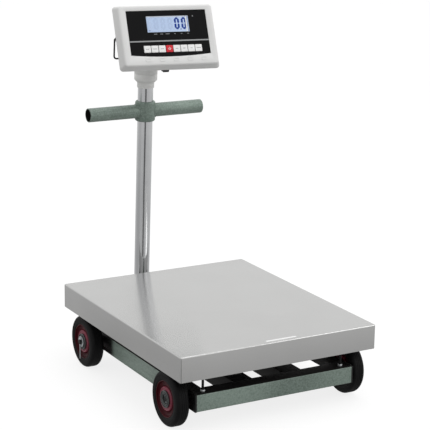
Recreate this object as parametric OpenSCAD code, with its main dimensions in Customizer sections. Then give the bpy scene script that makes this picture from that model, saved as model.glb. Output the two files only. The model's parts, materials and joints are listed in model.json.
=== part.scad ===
// Platform shipping scale: a stainless pan on a wheeled steel base, with a post, a push handle
// and a tilting weight indicator. Origin: middle of the footprint, on the floor. +Z is up,
// the front is -Y and the display faces forward.

/* [Pan] */
// Width of the pan, left to right
pan_w = 500; // [490:5:520]
// Length of the pan, front to back
pan_l = 600; // [590:5:620]
// Height of the pan's top above the floor
pan_top = 185; // [184:1:188]
// Depth of the pan's folded skirt
pan_skirt = 57; // [54:1:60]
// Sheet thickness of the pan
pan_t = 1.5; // [1.5:0.5:2.5]
// Radius of the pan's folded corners
pan_r = 3; // [3:0.5:6]

/* [Base frame] */
// Outer width of the base frame
frame_w = 408; // [404:2:412]
// Outer length of the base frame
frame_l = 566; // [560:2:572]
// Height and depth of the square rails
rail = 40; // [38:1:42]
// Height of the rails' underside above the floor
rail_z = 47.5; // [46:0.5:49]
// Wall of the square rails
rail_t = 2.5; // [2:0.5:3]
// Thickness of the side angles
angle_t = 4; // [3:0.5:5]
// Width of a centre beam
beam_w = 50; // [40:2:52]
// Height of a centre beam
beam_h = 40; // [30:2:40]
// Distance from the middle to a centre beam's axis
beam_x = 64; // [60:1:66]

/* [Wheels] */
// Wheel diameter over the tyre
wheel_d = 125; // [123:1:127]
// Width of the tyre
wheel_w = 32; // [30:1:33]
// Distance between front and rear axles
wheel_base = 428; // [420:2:436]
// Diameter of a stub axle
axle_d = 12; // [10:1:14]
// Radial running clearance of turning pieces
run_gap = 0.05; // [0.02:0.01:0.1]

/* [Load cell] */
// Length of the load cell
cell_l = 150; // [140:5:160]
// Width of the load cell
cell_w = 40; // [36:2:44]
// Height of the load cell
cell_h = 30; // [28:1:32]
// Thickness of each spacer on the load cell
spacer_t = 4; // [3:0.5:4]
// Gap between a stop screw and the load frame
stop_gap = 2; // [1.5:0.5:3]

/* [Post and handle] */
// Outer diameter of the post
post_d = 38; // [36:1:40]
// Distance from the pan's middle back to the post, at the pan's height
post_back = 376; // [370:1:385]
// Forward lean of the post
post_lean = 2; // [0:0.5:3]
// Length of the post above the pan's height
post_rise = 506; // [500:1:512]
// Height of the handle above the pan's height
handle_rise = 397; // [380:1:410]
// Overall length of the handle
handle_l = 310; // [290:5:330]
// Outer diameter of the handle tube
handle_d = 34; // [32:1:35]

/* [Indicator] */
// Turn of the indicator about the post, seen from above
head_yaw = -8.6; // [-20:0.2:20]
// Backward tilt of the indicator from the post's line
head_tilt = 28; // [20:1:32]
// Sideways offset of the indicator from the post
head_offset = 15; // [10:1:18]
// Distance from the post forward to the middle of the front face
face_reach = 120; // [116:1:126]
// Height of the middle of the front face above the post cap
face_rise = 86; // [84:1:94]
// Width of the indicator's front face
face_w = 236; // [230:2:240]
// Height of the indicator's front face
face_h = 150; // [148:1:154]
// Depth of the indicator's housing
head_depth = 60; // [58:1:62]
// Depth of the front shell, up to the joint between the shells
front_depth = 22; // [20:1:24]
// Wall thickness of the shells
shell_t = 2.5; // [2:0.25:3]
// Width of the black front panel
panel_w = 199; // [196:1:202]
// Height of the front panel at its sides
panel_h = 109; // [108:1:110]
// Number of keys
key_count = 8; // [6:1:8]
// Pitch of the keys
key_pitch = 18.3; // [18:0.1:18.6]
// Size of a key's square face
key_size = 17; // [16:0.2:17.2]
// Travel of a key
key_travel = 0.8; // [0.5:0.1:1]

/* [Hidden] */
$fn = 64;
eps = 0.05;

// Rear end of the post bracket, behind the pan's middle
bracket_z = rail_z + rail;
bracket_t = 6;
bracket_w = 90;
post_foot = post_back + (pan_top - bracket_z) * tan(post_lean);
bracket_end = post_foot + 30;
// The footprint is centred on the origin, so the pan's middle sits forward of it
mid_y = -(bracket_end - pan_l / 2) / 2;

// Base frame
angle_in = frame_w / 2 - angle_t;
rail_in = frame_l / 2 - rail;
angle_leg = 30;
axle_z = wheel_d / 2;
axle_y = wheel_base / 2;
boss_t = 10;

// Wheel
wheel_in = frame_w / 2 + 7.5;
wheel_out = wheel_in + wheel_w;
rim_r = 41;
ring_r = 27;
hub_r = 19.5;
shoulder_r = 9;
bead_r = 44;
hub_recess = 5.5;
pin_x = wheel_out + 4;
pin_hole_r = 1.9;
pin_wire = 1;

// Load cell stack, from the cell's base plate up to the load frame
plate_t = 6;
cell_z = bracket_z + plate_t + spacer_t;
frame_z = cell_z + cell_h + spacer_t;
load_plate_t = 8;
tube_z = frame_z + load_plate_t;
pad_t = 4;
tube_h = pan_top - pan_t - pad_t - tube_z;
tube_w = 30;
tube_t = 2;
cross_y = 262;
cross_l = 430;
long_x = 60;
cell_end = 60;
cell_bolt_y = 50;
cell_bolt_x = 12;
plate_l = 90;
stop_r = 3;
stop_x = 178;
stop_y = 268;

// Post, handle and cap
bolt_x = 30;
bolt_y = 10;
clamp_z = -62;
socket_z = -135;
socket_l = 100;
socket_t = 4;
cap_r = 28.5;
cap_top = 520;
cap_h = 64;
cap_neck = 20;
hub_h = 50;
hub_wall = 6;

// Indicator
rim_w = face_w + 14;
rim_h = face_h + 10;
back_w = 214;
back_h = 132;
corner_r = 8;
panel_top = 61;
panel_y = panel_top - panel_h / 2;
panel_t = 1.2;
panel_proud = 0.2;
panel_bow = 5;
window_w = 106;
window_h = 40.4;
window_x = 1.5;
window_y = panel_top - 33.6;
key_row_x = 6.3;
key_y = panel_top - 95.2;
key_h = 3;
key_proud = 1;
tilt_v = -52;
tilt_w = 82;
tilt_r = 4;
lug_x = 9;
lug_t = 5;
base_t = 4;
arm_t = 3;
arm_x = lug_x + lug_t + 0.4;
door_x = 58;
door_y = -8;
door_w = 76;
door_h = 62;
screw_x = 98;
screw_y = 58;
gland_xs = [-84, -58];
gland_y = -46;
bail_x = 119;
bail_r = 2;
bail_v = 10;
bail_w = 50;
bail_arm = 48;
bail_open = 30;

// Place of the tilt axis in the frame that turns on the post
axis_y = -face_reach + tilt_v * sin(head_tilt) + tilt_w * cos(head_tilt);
axis_z = face_rise + tilt_v * cos(head_tilt) - tilt_w * sin(head_tilt);

SIDES = [-1, 1];
WHEELS = ["front_left", "front_right", "rear_left", "rear_right"];

// ---- Frames and shared shapes ----

// Moves from the pan's middle on the floor to the model's origin
module platform() {
    translate([0, mid_y, 0])
        children();
}

// Stands children on the post's line, z up from the pan's height
module on_post(z = 0) {
    platform()
        translate([0, post_back, pan_top])
            rotate([post_lean, 0, 0])
                translate([0, 0, z])
                    children();
}

// Turns children with the indicator, from the top of the post cap
module on_swivel() {
    on_post(cap_top)
        rotate([0, 0, head_yaw])
            children();
}

// Puts children on the indicator's front face: x right, y up the face, z outwards
module on_face() {
    on_swivel()
        translate([head_offset, -face_reach, face_rise])
            rotate([90 - head_tilt, 0, 0])
                children();
}

// Copies children to both ends and both sides of the platform
module four(x, y) {
    for (sx = SIDES)
        for (sy = SIDES)
            translate([sx * x, sy * y, 0])
                children();
}

// Cylinder along X, from x0 to x1
module rod_x(r, x0, x1) {
    translate([x0, 0, 0])
        rotate([0, 90, 0])
            cylinder(h = x1 - x0, r = r);
}

// Hexagon prism along Z
module hex(across, h) {
    cylinder(h = h, r = across / sqrt(3), $fn = 6);
}

// Hollow rectangular tube along X, centred on x and y, standing on z = 0
module tube_x(l, w, h, t) {
    difference() {
        translate([-l / 2, -w / 2, 0])
            cube([l, w, h]);
        translate([-l / 2 - 1, -w / 2 + t, t])
            cube([l + 2, w - 2 * t, h - 2 * t]);
    }
}

// Rectangle with round corners, extruded up
module rounded_plate(w, h, r, t) {
    linear_extrude(height = t)
        translate([-w / 2 + r, -h / 2 + r])
            offset(r = r, $fn = 32)
                square([w - 2 * r, h - 2 * r]);
}

// ---- Base frame ----

module cross_rail(y) {
    difference() {
        platform()
            translate([0, y, rail_z])
                tube_x(2 * angle_in, rail, rail, rail_t);
        stop_holes();
        bracket_holes();
    }
}

module front_rail() {
    color("#7f8c84")
        cross_rail(-(frame_l - rail) / 2);
}

module rear_rail() {
    color("#7f8c84")
        cross_rail((frame_l - rail) / 2);
}

// Angle with its upright leg outside and its upper leg turned in
module side_rail(side) {
    color("#7f8c84")
        difference() {
            platform()
                scale([side, 1, 1])
                    union() {
                        translate([angle_in, -frame_l / 2, rail_z])
                            cube([angle_t, frame_l, rail]);
                        translate([angle_in - angle_leg, -rail_in, bracket_z - angle_t])
                            cube([angle_leg + eps, 2 * rail_in, angle_t]);
                    }
            axle_holes(axle_d / 2);
        }
}

module axle_holes(r) {
    platform()
        for (sy = SIDES)
            translate([0, sy * axle_y, axle_z])
                rod_x(r, -frame_w, frame_w);
}

module stop_holes() {
    platform()
        four(stop_x, stop_y)
            translate([0, 0, rail_z - 1])
                cylinder(h = rail + 2, r = stop_r);
}

module centre_beams() {
    color("#1b1c1c")
        platform()
            for (side = SIDES)
                translate([side * beam_x, 0, bracket_z - beam_h])
                    rotate([0, 0, 90])
                        tube_x(2 * rail_in, beam_w, beam_h, rail_t);
}

module axle_plates() {
    color("#1b1c1c")
        difference() {
            platform()
                for (side = SIDES)
                    for (sy = SIDES)
                        translate([side * (angle_in - boss_t / 2), sy * axle_y, bracket_z - angle_t - 16])
                            cube([boss_t, 50, 32], center = true);
            axle_holes(axle_d / 2);
        }
}

// Stub axles: the front ones end inside the hubs, the rear ones carry a washer and a split pin
module axles() {
    color("#b9bcbd")
        platform()
            for (side = SIDES)
                scale([side, 1, 1]) {
                    translate([0, -axle_y, axle_z])
                        stub_axle(wheel_out - 2);
                    translate([0, axle_y, axle_z])
                        difference() {
                            stub_axle(pan_w / 2 - 0.5);
                            translate([pin_x, 0, -axle_d])
                                cylinder(h = 2 * axle_d, r = pin_hole_r);
                        }
                }
}

module stub_axle(end) {
    rod_x(axle_d / 2, angle_in - boss_t - eps, end);
    rod_x(axle_d / 2 + 4, angle_in - boss_t - 5, angle_in - boss_t);
}

module ring_x(r_in, r_out, x0, x1) {
    difference() {
        rod_x(r_out, x0, x1);
        rod_x(r_in, x0 - 1, x1 + 1);
    }
}

// Spacer sleeves inside all wheels, washers outside the rear ones, rings in the front hubs
module axle_washers() {
    color("#c9cbcc")
        platform()
            for (side = SIDES)
                scale([side, 1, 1]) {
                    for (sy = SIDES)
                        translate([0, sy * axle_y, axle_z])
                            ring_x(axle_d / 2, 11, frame_w / 2, wheel_in - 0.5);
                    translate([0, axle_y, axle_z])
                        ring_x(axle_d / 2, 13, wheel_out + 0.4, wheel_out + 2.4);
                    translate([0, -axle_y, axle_z])
                        ring_x(axle_d / 2, 8.5, wheel_out - 4.8, wheel_out - 3.6);
                }
}

// Split pins hang through the rear axle ends, eye up
module split_pins() {
    color("#d5d7d8")
        platform()
            for (side = SIDES)
                translate([side * pin_x, axle_y, axle_z])
                    split_pin();
}

module split_pin() {
    eye = 3.2;
    for (s = SIDES)
        translate([0, s * 0.7 * pin_wire, -42])
            cylinder(h = 43 + axle_d / 2, r = pin_wire);
    translate([0, 0, axle_d / 2 + eye])
        rotate([0, 90, 0])
            rotate_extrude()
                translate([eye, 0])
                    circle(r = pin_wire, $fn = 24);
}

// Overload stop screws in the four corners, each with a lock nut on the rail
module stop_screws() {
    color("#c9cbcc")
        platform()
            four(stop_x, stop_y) {
                translate([0, 0, rail_z - 4])
                    cylinder(h = tube_z - stop_gap - rail_z + 4, r = stop_r);
                translate([0, 0, bracket_z])
                    hex(10, 5);
            }
}

// ---- Load cell ----

module cell_bolt_grid(end, z0, h, r) {
    platform()
        for (sx = SIDES)
            for (sy = SIDES)
                translate([sx * cell_bolt_x, end * cell_bolt_y + sy * 14, z0])
                    cylinder(h = h, r = r);
}

module cell_base_plate() {
    color("#1b1c1c")
        difference() {
            platform()
                translate([-beam_x - beam_w / 2, cell_bolt_y - plate_l / 2 + 4, bracket_z])
                    cube([2 * beam_x + beam_w, plate_l, plate_t]);
            cell_bolt_grid(1, bracket_z - 1, plate_t + 2, 4);
        }
}

module cell_spacer(end, z) {
    difference() {
        platform()
            translate([-cell_w / 2, end > 0 ? cell_l / 2 - cell_end + 6 : -cell_l / 2, z])
                cube([cell_w, cell_end - 6, spacer_t]);
        cell_bolt_grid(end, z - 1, spacer_t + 2, 4);
    }
}

module fixed_spacer() {
    color("#8d9092")
        cell_spacer(1, cell_z - spacer_t);
}

module free_spacer() {
    color("#8d9092")
        cell_spacer(-1, cell_z + cell_h);
}

// Single-point cell: a block with a double-eyed window that lets its free end sink straight down
module load_cell() {
    eye_r = 9;
    eye_gap = 22;
    color("#c4c7c8")
        difference() {
            platform()
                translate([-cell_w / 2, -cell_l / 2, cell_z])
                    cube([cell_w, cell_l, cell_h]);
            platform()
                for (s = SIDES)
                    translate([0, s * eye_gap / 2, cell_z + cell_h / 2])
                        rod_x(eye_r, -cell_w, cell_w);
            platform()
                translate([-cell_w, -eye_gap / 2, cell_z + cell_h / 2 - eye_r / 2])
                    cube([2 * cell_w, eye_gap, eye_r]);
            for (end = SIDES)
                cell_bolt_grid(end, cell_z - 1, cell_h + 2, 4);
        }
}

module fixed_cell_bolts() {
    color("#b9bcbd") {
        cell_bolt_grid(1, bracket_z, cell_h + plate_t + spacer_t - 4, 4);
        platform()
            for (sx = SIDES)
                for (sy = SIDES)
                    translate([sx * cell_bolt_x, cell_bolt_y + sy * 14, bracket_z - 5])
                        hex(13, 5);
    }
}

module free_cell_bolts() {
    color("#b9bcbd") {
        cell_bolt_grid(-1, cell_z + 4, cell_h + spacer_t + load_plate_t - 4, 4);
        platform()
            for (sx = SIDES)
                for (sy = SIDES)
                    translate([sx * cell_bolt_x, -cell_bolt_y + sy * 14, tube_z])
                        hex(13, 5);
    }
}

// ---- Load frame and pan ----

// Welded frame of tubes that carries the pan on the cell's free end
module load_frame() {
    long_l = 2 * (cross_y - tube_w / 2);
    color("#1b1c1c")
        difference() {
            platform() {
                for (sy = SIDES)
                    translate([0, sy * cross_y, tube_z])
                        tube_x(cross_l, tube_w, tube_h, tube_t);
                for (side = SIDES)
                    translate([side * long_x, 0, tube_z])
                        rotate([0, 0, 90])
                            tube_x(long_l, tube_w, tube_h, tube_t);
                translate([-long_x - tube_w / 2, -cell_bolt_y - plate_l / 2 - 4, frame_z])
                    cube([2 * long_x + tube_w, plate_l, load_plate_t]);
            }
            cell_bolt_grid(-1, frame_z - 1, load_plate_t + 2, 4);
        }
}

module pan_pads() {
    color("#202020")
        platform()
            four(cross_l / 2 - 20, cross_y)
                translate([0, 0, tube_z + tube_h])
                    cylinder(h = pad_t, r = 13);
}

module pan() {
    color("#c2c3c3")
        platform()
            translate([0, 0, pan_top - pan_skirt])
                difference() {
                    rounded_plate(pan_w, pan_l, pan_r, pan_skirt);
                    translate([0, 0, -1])
                        rounded_plate(pan_w - 2 * pan_t, pan_l - 2 * pan_t, pan_r - pan_t / 2,
                            pan_skirt - pan_t + 1);
                }
}

// ---- Wheels ----

// Puts a wheel at its corner, turned so that +Z of the profile points outwards
module at_wheel(corner) {
    side = corner == "front_left" || corner == "rear_left" ? -1 : 1;
    end = corner == "front_left" || corner == "front_right" ? -1 : 1;
    platform()
        translate([side * wheel_in, end * axle_y, axle_z])
            rotate([0, side * 90, 0])
                children();
}

// Solid tyre with round shoulders and a lower bead beside the rim
module tyre(corner) {
    tread_in = wheel_d / 2 - shoulder_r;
    color("#1e1e1e")
        at_wheel(corner)
            rotate_extrude($fn = 96)
                union() {
                    translate([rim_r, 1])
                        square([bead_r - rim_r + eps, wheel_w - 2]);
                    translate([bead_r, 0])
                        square([tread_in - bead_r, wheel_w]);
                    translate([tread_in - eps, shoulder_r])
                        square([shoulder_r + eps, wheel_w - 2 * shoulder_r]);
                    for (y = [shoulder_r, wheel_w - shoulder_r])
                        translate([tread_in, y])
                            circle(r = shoulder_r);
                }
}

// Pressed rim: a dished web with a raised ring on each side
module rim(corner) {
    color("#6a1522")
        at_wheel(corner)
            rotate_extrude($fn = 72)
                polygon([[hub_r, 3], [ring_r, 3], [ring_r + 2, 8], [rim_r - 3, 8], [rim_r, 2],
                    [rim_r, wheel_w - 2], [rim_r - 3, wheel_w - 8], [ring_r + 2, wheel_w - 8],
                    [ring_r, wheel_w - 3], [hub_r, wheel_w - 3]]);
}

// Hub sleeve that turns on the stub axle, with a recess in its outer face
module hub(corner) {
    color("#8b8d8e")
        at_wheel(corner)
            difference() {
                cylinder(h = wheel_w, r = hub_r);
                translate([0, 0, -1])
                    cylinder(h = wheel_w + 2, r = axle_d / 2 + run_gap);
                translate([0, 0, wheel_w - hub_recess])
                    cylinder(h = 10, r = 10);
            }
}

// ---- Post, bracket and handle ----

module bracket_holes() {
    platform()
        for (sx = SIDES)
            for (sy = SIDES)
                translate([sx * bolt_x, (frame_l - rail) / 2 + sy * bolt_y, rail_z - 1])
                    cylinder(h = rail + bracket_t + 2, r = 4);
}

// Plate bolted on the rear rail, with a welded socket for the post and two gussets
module post_bracket() {
    color("#7f8c84")
        difference() {
            union() {
                platform()
                    translate([-bracket_w / 2, rail_in, bracket_z])
                        cube([bracket_w, bracket_end - rail_in, bracket_t]);
                on_post(socket_z)
                    cylinder(h = socket_l, r = post_d / 2 + socket_t);
                for (sx = SIDES)
                    platform()
                        translate([sx * 14 - 2.5, pan_l / 2 + 12, bracket_z + bracket_t])
                            rotate([90, 0, 90])
                                linear_extrude(height = 5)
                                    polygon([[0, 0], [post_foot - pan_l / 2 - 30, 0],
                                        [post_foot - pan_l / 2 - 30, 38], [0, 8]]);
            }
            on_post(socket_z - 1)
                cylinder(h = socket_l + 2, r = post_d / 2);
            on_post(clamp_z)
                rod_x(4, -bolt_x, bolt_x);
            bracket_holes();
        }
}

// Four screws hold the bracket on the rail and one cross bolt holds the post in its socket
module bracket_bolts() {
    grip = post_d / 2 + socket_t + 0.2;
    color("#c9cbcc") {
        platform()
            for (sx = SIDES)
                for (sy = SIDES)
                    translate([sx * bolt_x, (frame_l - rail) / 2 + sy * bolt_y, rail_z - 6]) {
                        cylinder(h = rail + bracket_t + 6, r = 4);
                        hex(13, 6);
                        translate([0, 0, rail + bracket_t + 6])
                            hex(13, 5);
                    }
        on_post(clamp_z) {
            rod_x(4, -grip, grip);
            for (s = SIDES)
                rotate([0, s * 90, 0])
                    translate([0, 0, grip])
                        hex(13, 5.5);
        }
    }
}

module post() {
    color("#d0d2d3")
        on_post(socket_z)
            difference() {
                cylinder(h = post_rise - socket_z, r = post_d / 2);
                translate([0, 0, -1])
                    cylinder(h = post_rise - socket_z + 2, r = post_d / 2 - 1.5);
                translate([0, 0, clamp_z - socket_z])
                    rod_x(4, -post_d, post_d);
            }
}

// Sleeve round the post that the handle's tubes are welded to, with eased ends
module handle_hub() {
    r_out = post_d / 2 + hub_wall;
    ease = 4;
    color("#7f8c84")
        on_post(handle_rise - hub_h / 2)
            rotate_extrude()
                polygon([[post_d / 2, 0], [r_out - ease, 0], [r_out, ease], [r_out, hub_h - ease],
                    [r_out - ease, hub_h], [post_d / 2, hub_h]]);
}

module handle_bar() {
    color("#7f8c84")
        on_post(handle_rise)
            difference() {
                for (side = SIDES)
                    scale([side, 1, 1])
                        ring_x(handle_d / 2 - 2, handle_d / 2, 10, handle_l / 2);
                translate([0, 0, -hub_h / 2])
                    cylinder(h = hub_h, r = post_d / 2 + hub_wall);
            }
}

// Plastic cap with a tapered neck; the indicator's bracket turns on its flat top
module post_cap() {
    neck_r = post_d / 2 + 2;
    color("#a9a9a9")
        on_post(cap_top - cap_h)
            difference() {
                rotate_extrude()
                    polygon([[0, 0], [neck_r, 0], [neck_r, cap_neck - 8], [cap_r, cap_neck],
                        [cap_r, cap_h - 1], [cap_r - 1, cap_h], [0, cap_h]]);
                translate([0, 0, -1])
                    cylinder(h = post_rise - cap_top + cap_h + 1, r = post_d / 2);
                cylinder(h = cap_h + 1, r = 4);
            }
}

// Screw on which the indicator's bracket turns
module swivel_screw() {
    color("#b9bcbd")
        on_post(cap_top) {
            translate([0, 0, -8])
                cylinder(h = 8 + base_t + 0.6, r = 4);
            translate([0, 0, base_t + 0.4])
                hex(13, 5);
        }
}

// ---- Indicator ----

// Places children on the tilt axis, in the turning frame
module on_tilt_axis() {
    on_face()
        translate([-head_offset, tilt_v, -tilt_w])
            children();
}

// Bent plate: a round foot on the cap and two arms that reach forward to the tilt axis
module tilt_bracket() {
    color("#1b1c1c")
        on_swivel()
            difference() {
                union() {
                    cylinder(h = base_t, r = 24);
                    translate([-arm_x - arm_t, -30, 0])
                        cube([2 * (arm_x + arm_t), 46, base_t]);
                    for (s = SIDES)
                        translate([s * (arm_x + arm_t / 2) - arm_t / 2, 0, 0])
                            rotate([90, 0, 90])
                                linear_extrude(height = arm_t)
                                    arm_outline();
                }
                translate([0, 0, -1])
                    cylinder(h = base_t + 2, r = 4 + run_gap);
                translate([0, axis_y, axis_z])
                    rod_x(tilt_r + run_gap, -arm_x - arm_t - 1, arm_x + arm_t + 1);
            }
}

module arm_outline() {
    translate([axis_y, axis_z])
        circle(r = 10);
    polygon([[axis_y - 4, axis_z - 9], [-30, 0], [16, 0], [16, 8], [-24, 10], [axis_y, axis_z + 10]]);
}

// Hinge bolt through the bracket's arms and the housing's lugs, turning with the housing
module tilt_bolt() {
    color("#b9bcbd")
        on_tilt_axis() {
            rod_x(tilt_r, -arm_x - arm_t - 0.4, arm_x + arm_t + 8);
            rotate([0, -90, 0])
                translate([0, 0, arm_x + arm_t + 0.4])
                    hex(13, 5);
        }
}

// Clamp knob with finger scallops on the bolt's right end
module tilt_knob() {
    knob_r = 15;
    color("#1f1f1f")
        on_tilt_axis()
            translate([arm_x + arm_t + 0.4, 0, 0])
                rotate([0, 90, 0])
                    difference() {
                        cylinder(h = 14, r = knob_r);
                        translate([0, 0, -1])
                            cylinder(h = 10, r = tilt_r + run_gap);
                        for (i = [0:5])
                            rotate([0, 0, 60 * i])
                                translate([knob_r + 2, 0, -1])
                                    cylinder(h = 16, r = 5);
                    }
}

// Slice of the housing's outline, z is the height from the front face
module slice(w, h, z, r = corner_r) {
    translate([0, 0, z])
        rounded_plate(w, h, r, eps);
}

module front_body(inset) {
    hull() {
        slice(face_w - 14 - 2 * inset, face_h - 14 - 2 * inset, -inset - eps, corner_r - 4);
        slice(face_w - 2 * inset, face_h - 2 * inset, -inset - 4);
        slice(rim_w - 2 * inset, rim_h - 2 * inset, -front_depth);
    }
}

module rear_body(inset) {
    hull() {
        slice(rim_w - 2 * inset, rim_h - 2 * inset, -front_depth - eps);
        slice(back_w + 10 - 2 * inset, back_h + 8 - 2 * inset, -head_depth + 5 + inset);
        slice(back_w - 2 * inset, back_h - 2 * inset, -head_depth + inset);
    }
}

// Outline of the front panel, with a bowed lower edge
module panel_outline(grow = 0) {
    half = panel_w / 2;
    bow_r = (half * half + panel_bow * panel_bow) / (2 * panel_bow);
    offset(delta = grow)
        translate([0, panel_y]) {
            square([panel_w, panel_h], center = true);
            intersection() {
                translate([0, -panel_h / 2 - panel_bow + bow_r])
                    circle(r = bow_r, $fn = 360);
                translate([-half, -panel_h / 2 - panel_bow])
                    square([panel_w, panel_bow + 1]);
            }
        }
}

function key_x(i) = key_row_x + (i - (key_count + 1) / 2) * key_pitch;

module key_slots(z0, h, gap) {
    for (i = [1:key_count])
        translate([key_x(i), key_y, z0])
            translate([-key_size / 2 - gap, -key_size / 2 - gap, 0])
                cube([key_size + 2 * gap, key_size + 2 * gap, h]);
}

module window_cut(z0, h, grow) {
    translate([window_x - window_w / 2 - grow, window_y - window_h / 2 - grow, z0])
        cube([window_w + 2 * grow, window_h + 2 * grow, h]);
}

module front_shell() {
    color("#d0d0d0")
        on_face()
            difference() {
                front_body(0);
                translate([0, 0, -eps])
                    front_body(shell_t);
                translate([0, 0, panel_proud - panel_t])
                    linear_extrude(height = panel_t + 1)
                        panel_outline(0.1);
                key_slots(-8, 12, 0.3);
                window_cut(-8, 12, 0);
                screw_holes();
            }
}

module rear_shell() {
    lug_r = 9;
    boss_r = 5;
    color("#c9c9c9")
        on_face()
            difference() {
                union() {
                    difference() {
                        rear_body(0);
                        translate([0, 0, eps])
                            rear_body(shell_t);
                    }
                    for (s = SIDES)
                        translate([-head_offset + s * (lug_x + lug_t / 2), tilt_v, 0])
                            lug(lug_r, lug_t, tilt_w);
                    for (s = SIDES)
                        translate([s * (bail_x - 8), bail_v, -bail_w])
                            cube([10, 2 * boss_r, 2 * boss_r], center = true);
                }
                translate([-head_offset, tilt_v, -tilt_w])
                    rod_x(tilt_r, -lug_x - lug_t - 1, lug_x + lug_t + 1);
                for (s = SIDES)
                    translate([s * bail_x, bail_v, -bail_w])
                        rod_x(bail_r + run_gap, -16, 16);
                door_cut(0.3);
                screw_holes();
                gland_holes();
            }
}

// Lug on the housing's back: a round eye on a straight web, thickness along X
module lug(r, t, reach) {
    translate([-t / 2, 0, -reach])
        rotate([90, 0, 90])
            linear_extrude(height = t) {
                circle(r = r);
                translate([-r, 0])
                    square([2 * r, reach - head_depth + 1]);
            }
}

module door_cut(gap) {
    translate([door_x - door_w / 2 - gap, door_y - door_h / 2 - gap, -head_depth - 1])
        cube([door_w + 2 * gap, door_h + 2 * gap, shell_t + 3]);
}

module battery_door() {
    color("#c4c4c4")
        on_face()
            translate([door_x - door_w / 2, door_y - door_h / 2, -head_depth])
                cube([door_w, door_h, shell_t]);
}

module battery() {
    color("#2f3a44")
        on_face()
            translate([door_x - 35, door_y - 28, -head_depth + shell_t + 1])
                cube([70, 56, 30]);
}

module screw_holes() {
    for (sx = SIDES)
        for (sy = SIDES)
            translate([sx * screw_x, sy * screw_y, -head_depth - 1])
                cylinder(h = head_depth - 6, r = 1.6);
}

module housing_screws() {
    color("#9a9c9d")
        on_face()
            for (sx = SIDES)
                for (sy = SIDES)
                    translate([sx * screw_x, sy * screw_y, -head_depth - 1.8]) {
                        cylinder(h = head_depth - 10, r = 1.5);
                        cylinder(h = 1.8, r = 3);
                    }
}

// Copies children to both cable glands, z into the housing from its back
module at_glands() {
    for (x = gland_xs)
        translate([x, gland_y, -head_depth])
            children();
}

module gland_holes() {
    at_glands()
        translate([0, 0, -1])
            cylinder(h = shell_t + 2, r = 5);
}

// Cable gland for the load cell and the charger's inlet, on the housing's back
module cable_glands() {
    color("#1f1f1f")
        on_face()
            at_glands()
                difference() {
                    union() {
                        translate([0, 0, -9])
                            cylinder(h = 9 + shell_t + 2, r = 5);
                        translate([0, 0, -2])
                            cylinder(h = 2, r = 7.2);
                        translate([0, 0, -5])
                            hex(13, 3);
                    }
                    translate([0, 0, -10])
                        cylinder(h = 9, r = 2.5);
                }
}

module panel_overlay() {
    color("#1a1a1a")
        on_face()
            difference() {
                translate([0, 0, panel_proud - panel_t])
                    linear_extrude(height = panel_t)
                        panel_outline();
                key_slots(-8, 12, 0.3);
                window_cut(-8, 12, 0);
            }
}

module lcd_window() {
    color("#cfd8e0", 0.4)
        on_face()
            window_pane(panel_proud - 1, 0.8, 0.1);
}

module window_pane(z, t, gap) {
    translate([window_x - window_w / 2 + gap, window_y - window_h / 2 + gap, z])
        cube([window_w - 2 * gap, window_h - 2 * gap, t]);
}

module lcd_module() {
    color("#b8cbe6")
        on_face() {
            window_pane(-4, 2.8, 0.4);
            window_pane(-7, 3, -3);
        }
}

module main_board() {
    color("#2c5a3c")
        on_face()
            translate([-95, -62, -10])
                cube([190, 118, 1.6]);
}

module key(i) {
    color(i == 4 ? "#e1142a" : "#f0f0f0")
        on_face()
            translate([key_x(i), key_y, panel_proud + key_proud - key_h])
                rounded_plate(key_size, key_size, 1.2, key_h);
}

// Wire stand hinged in bosses on the housing's back
module stand_bail() {
    bend = 6;
    color("#1a1a1a")
        on_face()
            translate([0, bail_v, -bail_w])
                rotate([bail_open, 0, 0]) {
                    for (s = SIDES)
                        scale([s, 1, 1]) {
                            rod_x(bail_r, bail_x - 12, bail_x);
                            translate([bail_x, 0, 0])
                                sphere(r = bail_r);
                            translate([bail_x, -bail_arm + bend, 0])
                                rotate([-90, 0, 0])
                                    cylinder(h = bail_arm - bend, r = bail_r);
                            translate([bail_x - bend, -bail_arm + bend, 0])
                                rotate([0, 0, -90])
                                    rotate_extrude(angle = 90)
                                        translate([bend, 0])
                                            circle(r = bail_r);
                        }
                    translate([0, -bail_arm, 0])
                        rod_x(bail_r, -bail_x + bend, bail_x - bend);
                }
}

front_rail();
rear_rail();
side_rail(-1);  // left_side_rail
side_rail(1);  // right_side_rail
centre_beams();
axle_plates();
axles();
axle_washers();
split_pins();
stop_screws();
cell_base_plate();
fixed_spacer();
load_cell();
fixed_cell_bolts();
post_bracket();
bracket_bolts();
post();
handle_hub();
handle_bar();
post_cap();
swivel_screw();
load_frame();
free_spacer();
free_cell_bolts();
pan_pads();
pan();
tyre(WHEELS[0]);  // tyre_front_left
tyre(WHEELS[1]);  // tyre_front_right
tyre(WHEELS[2]);  // tyre_rear_left
tyre(WHEELS[3]);  // tyre_rear_right
rim(WHEELS[0]);  // rim_front_left
rim(WHEELS[1]);  // rim_front_right
rim(WHEELS[2]);  // rim_rear_left
rim(WHEELS[3]);  // rim_rear_right
hub(WHEELS[0]);  // hub_front_left
hub(WHEELS[1]);  // hub_front_right
hub(WHEELS[2]);  // hub_rear_left
hub(WHEELS[3]);  // hub_rear_right
tilt_bracket();
tilt_bolt();
tilt_knob();
front_shell();
rear_shell();
panel_overlay();
lcd_module();
lcd_window();
main_board();
battery();
battery_door();
housing_screws();
cable_glands();
stand_bail();
key(1);  // key_1
key(2);  // key_2
key(3);  // key_3
key(4);  // key_4
key(5);  // key_5
key(6);  // key_6
key(7);  // key_7
key(8);  // key_8
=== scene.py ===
"""Looks of a wheeled platform shipping scale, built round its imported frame.

The builders work in millimetres and hand their pieces over in metres, the frame's own unit.
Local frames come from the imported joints: the post's line, the indicator's face and the wheels.
"""

import sys

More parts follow.
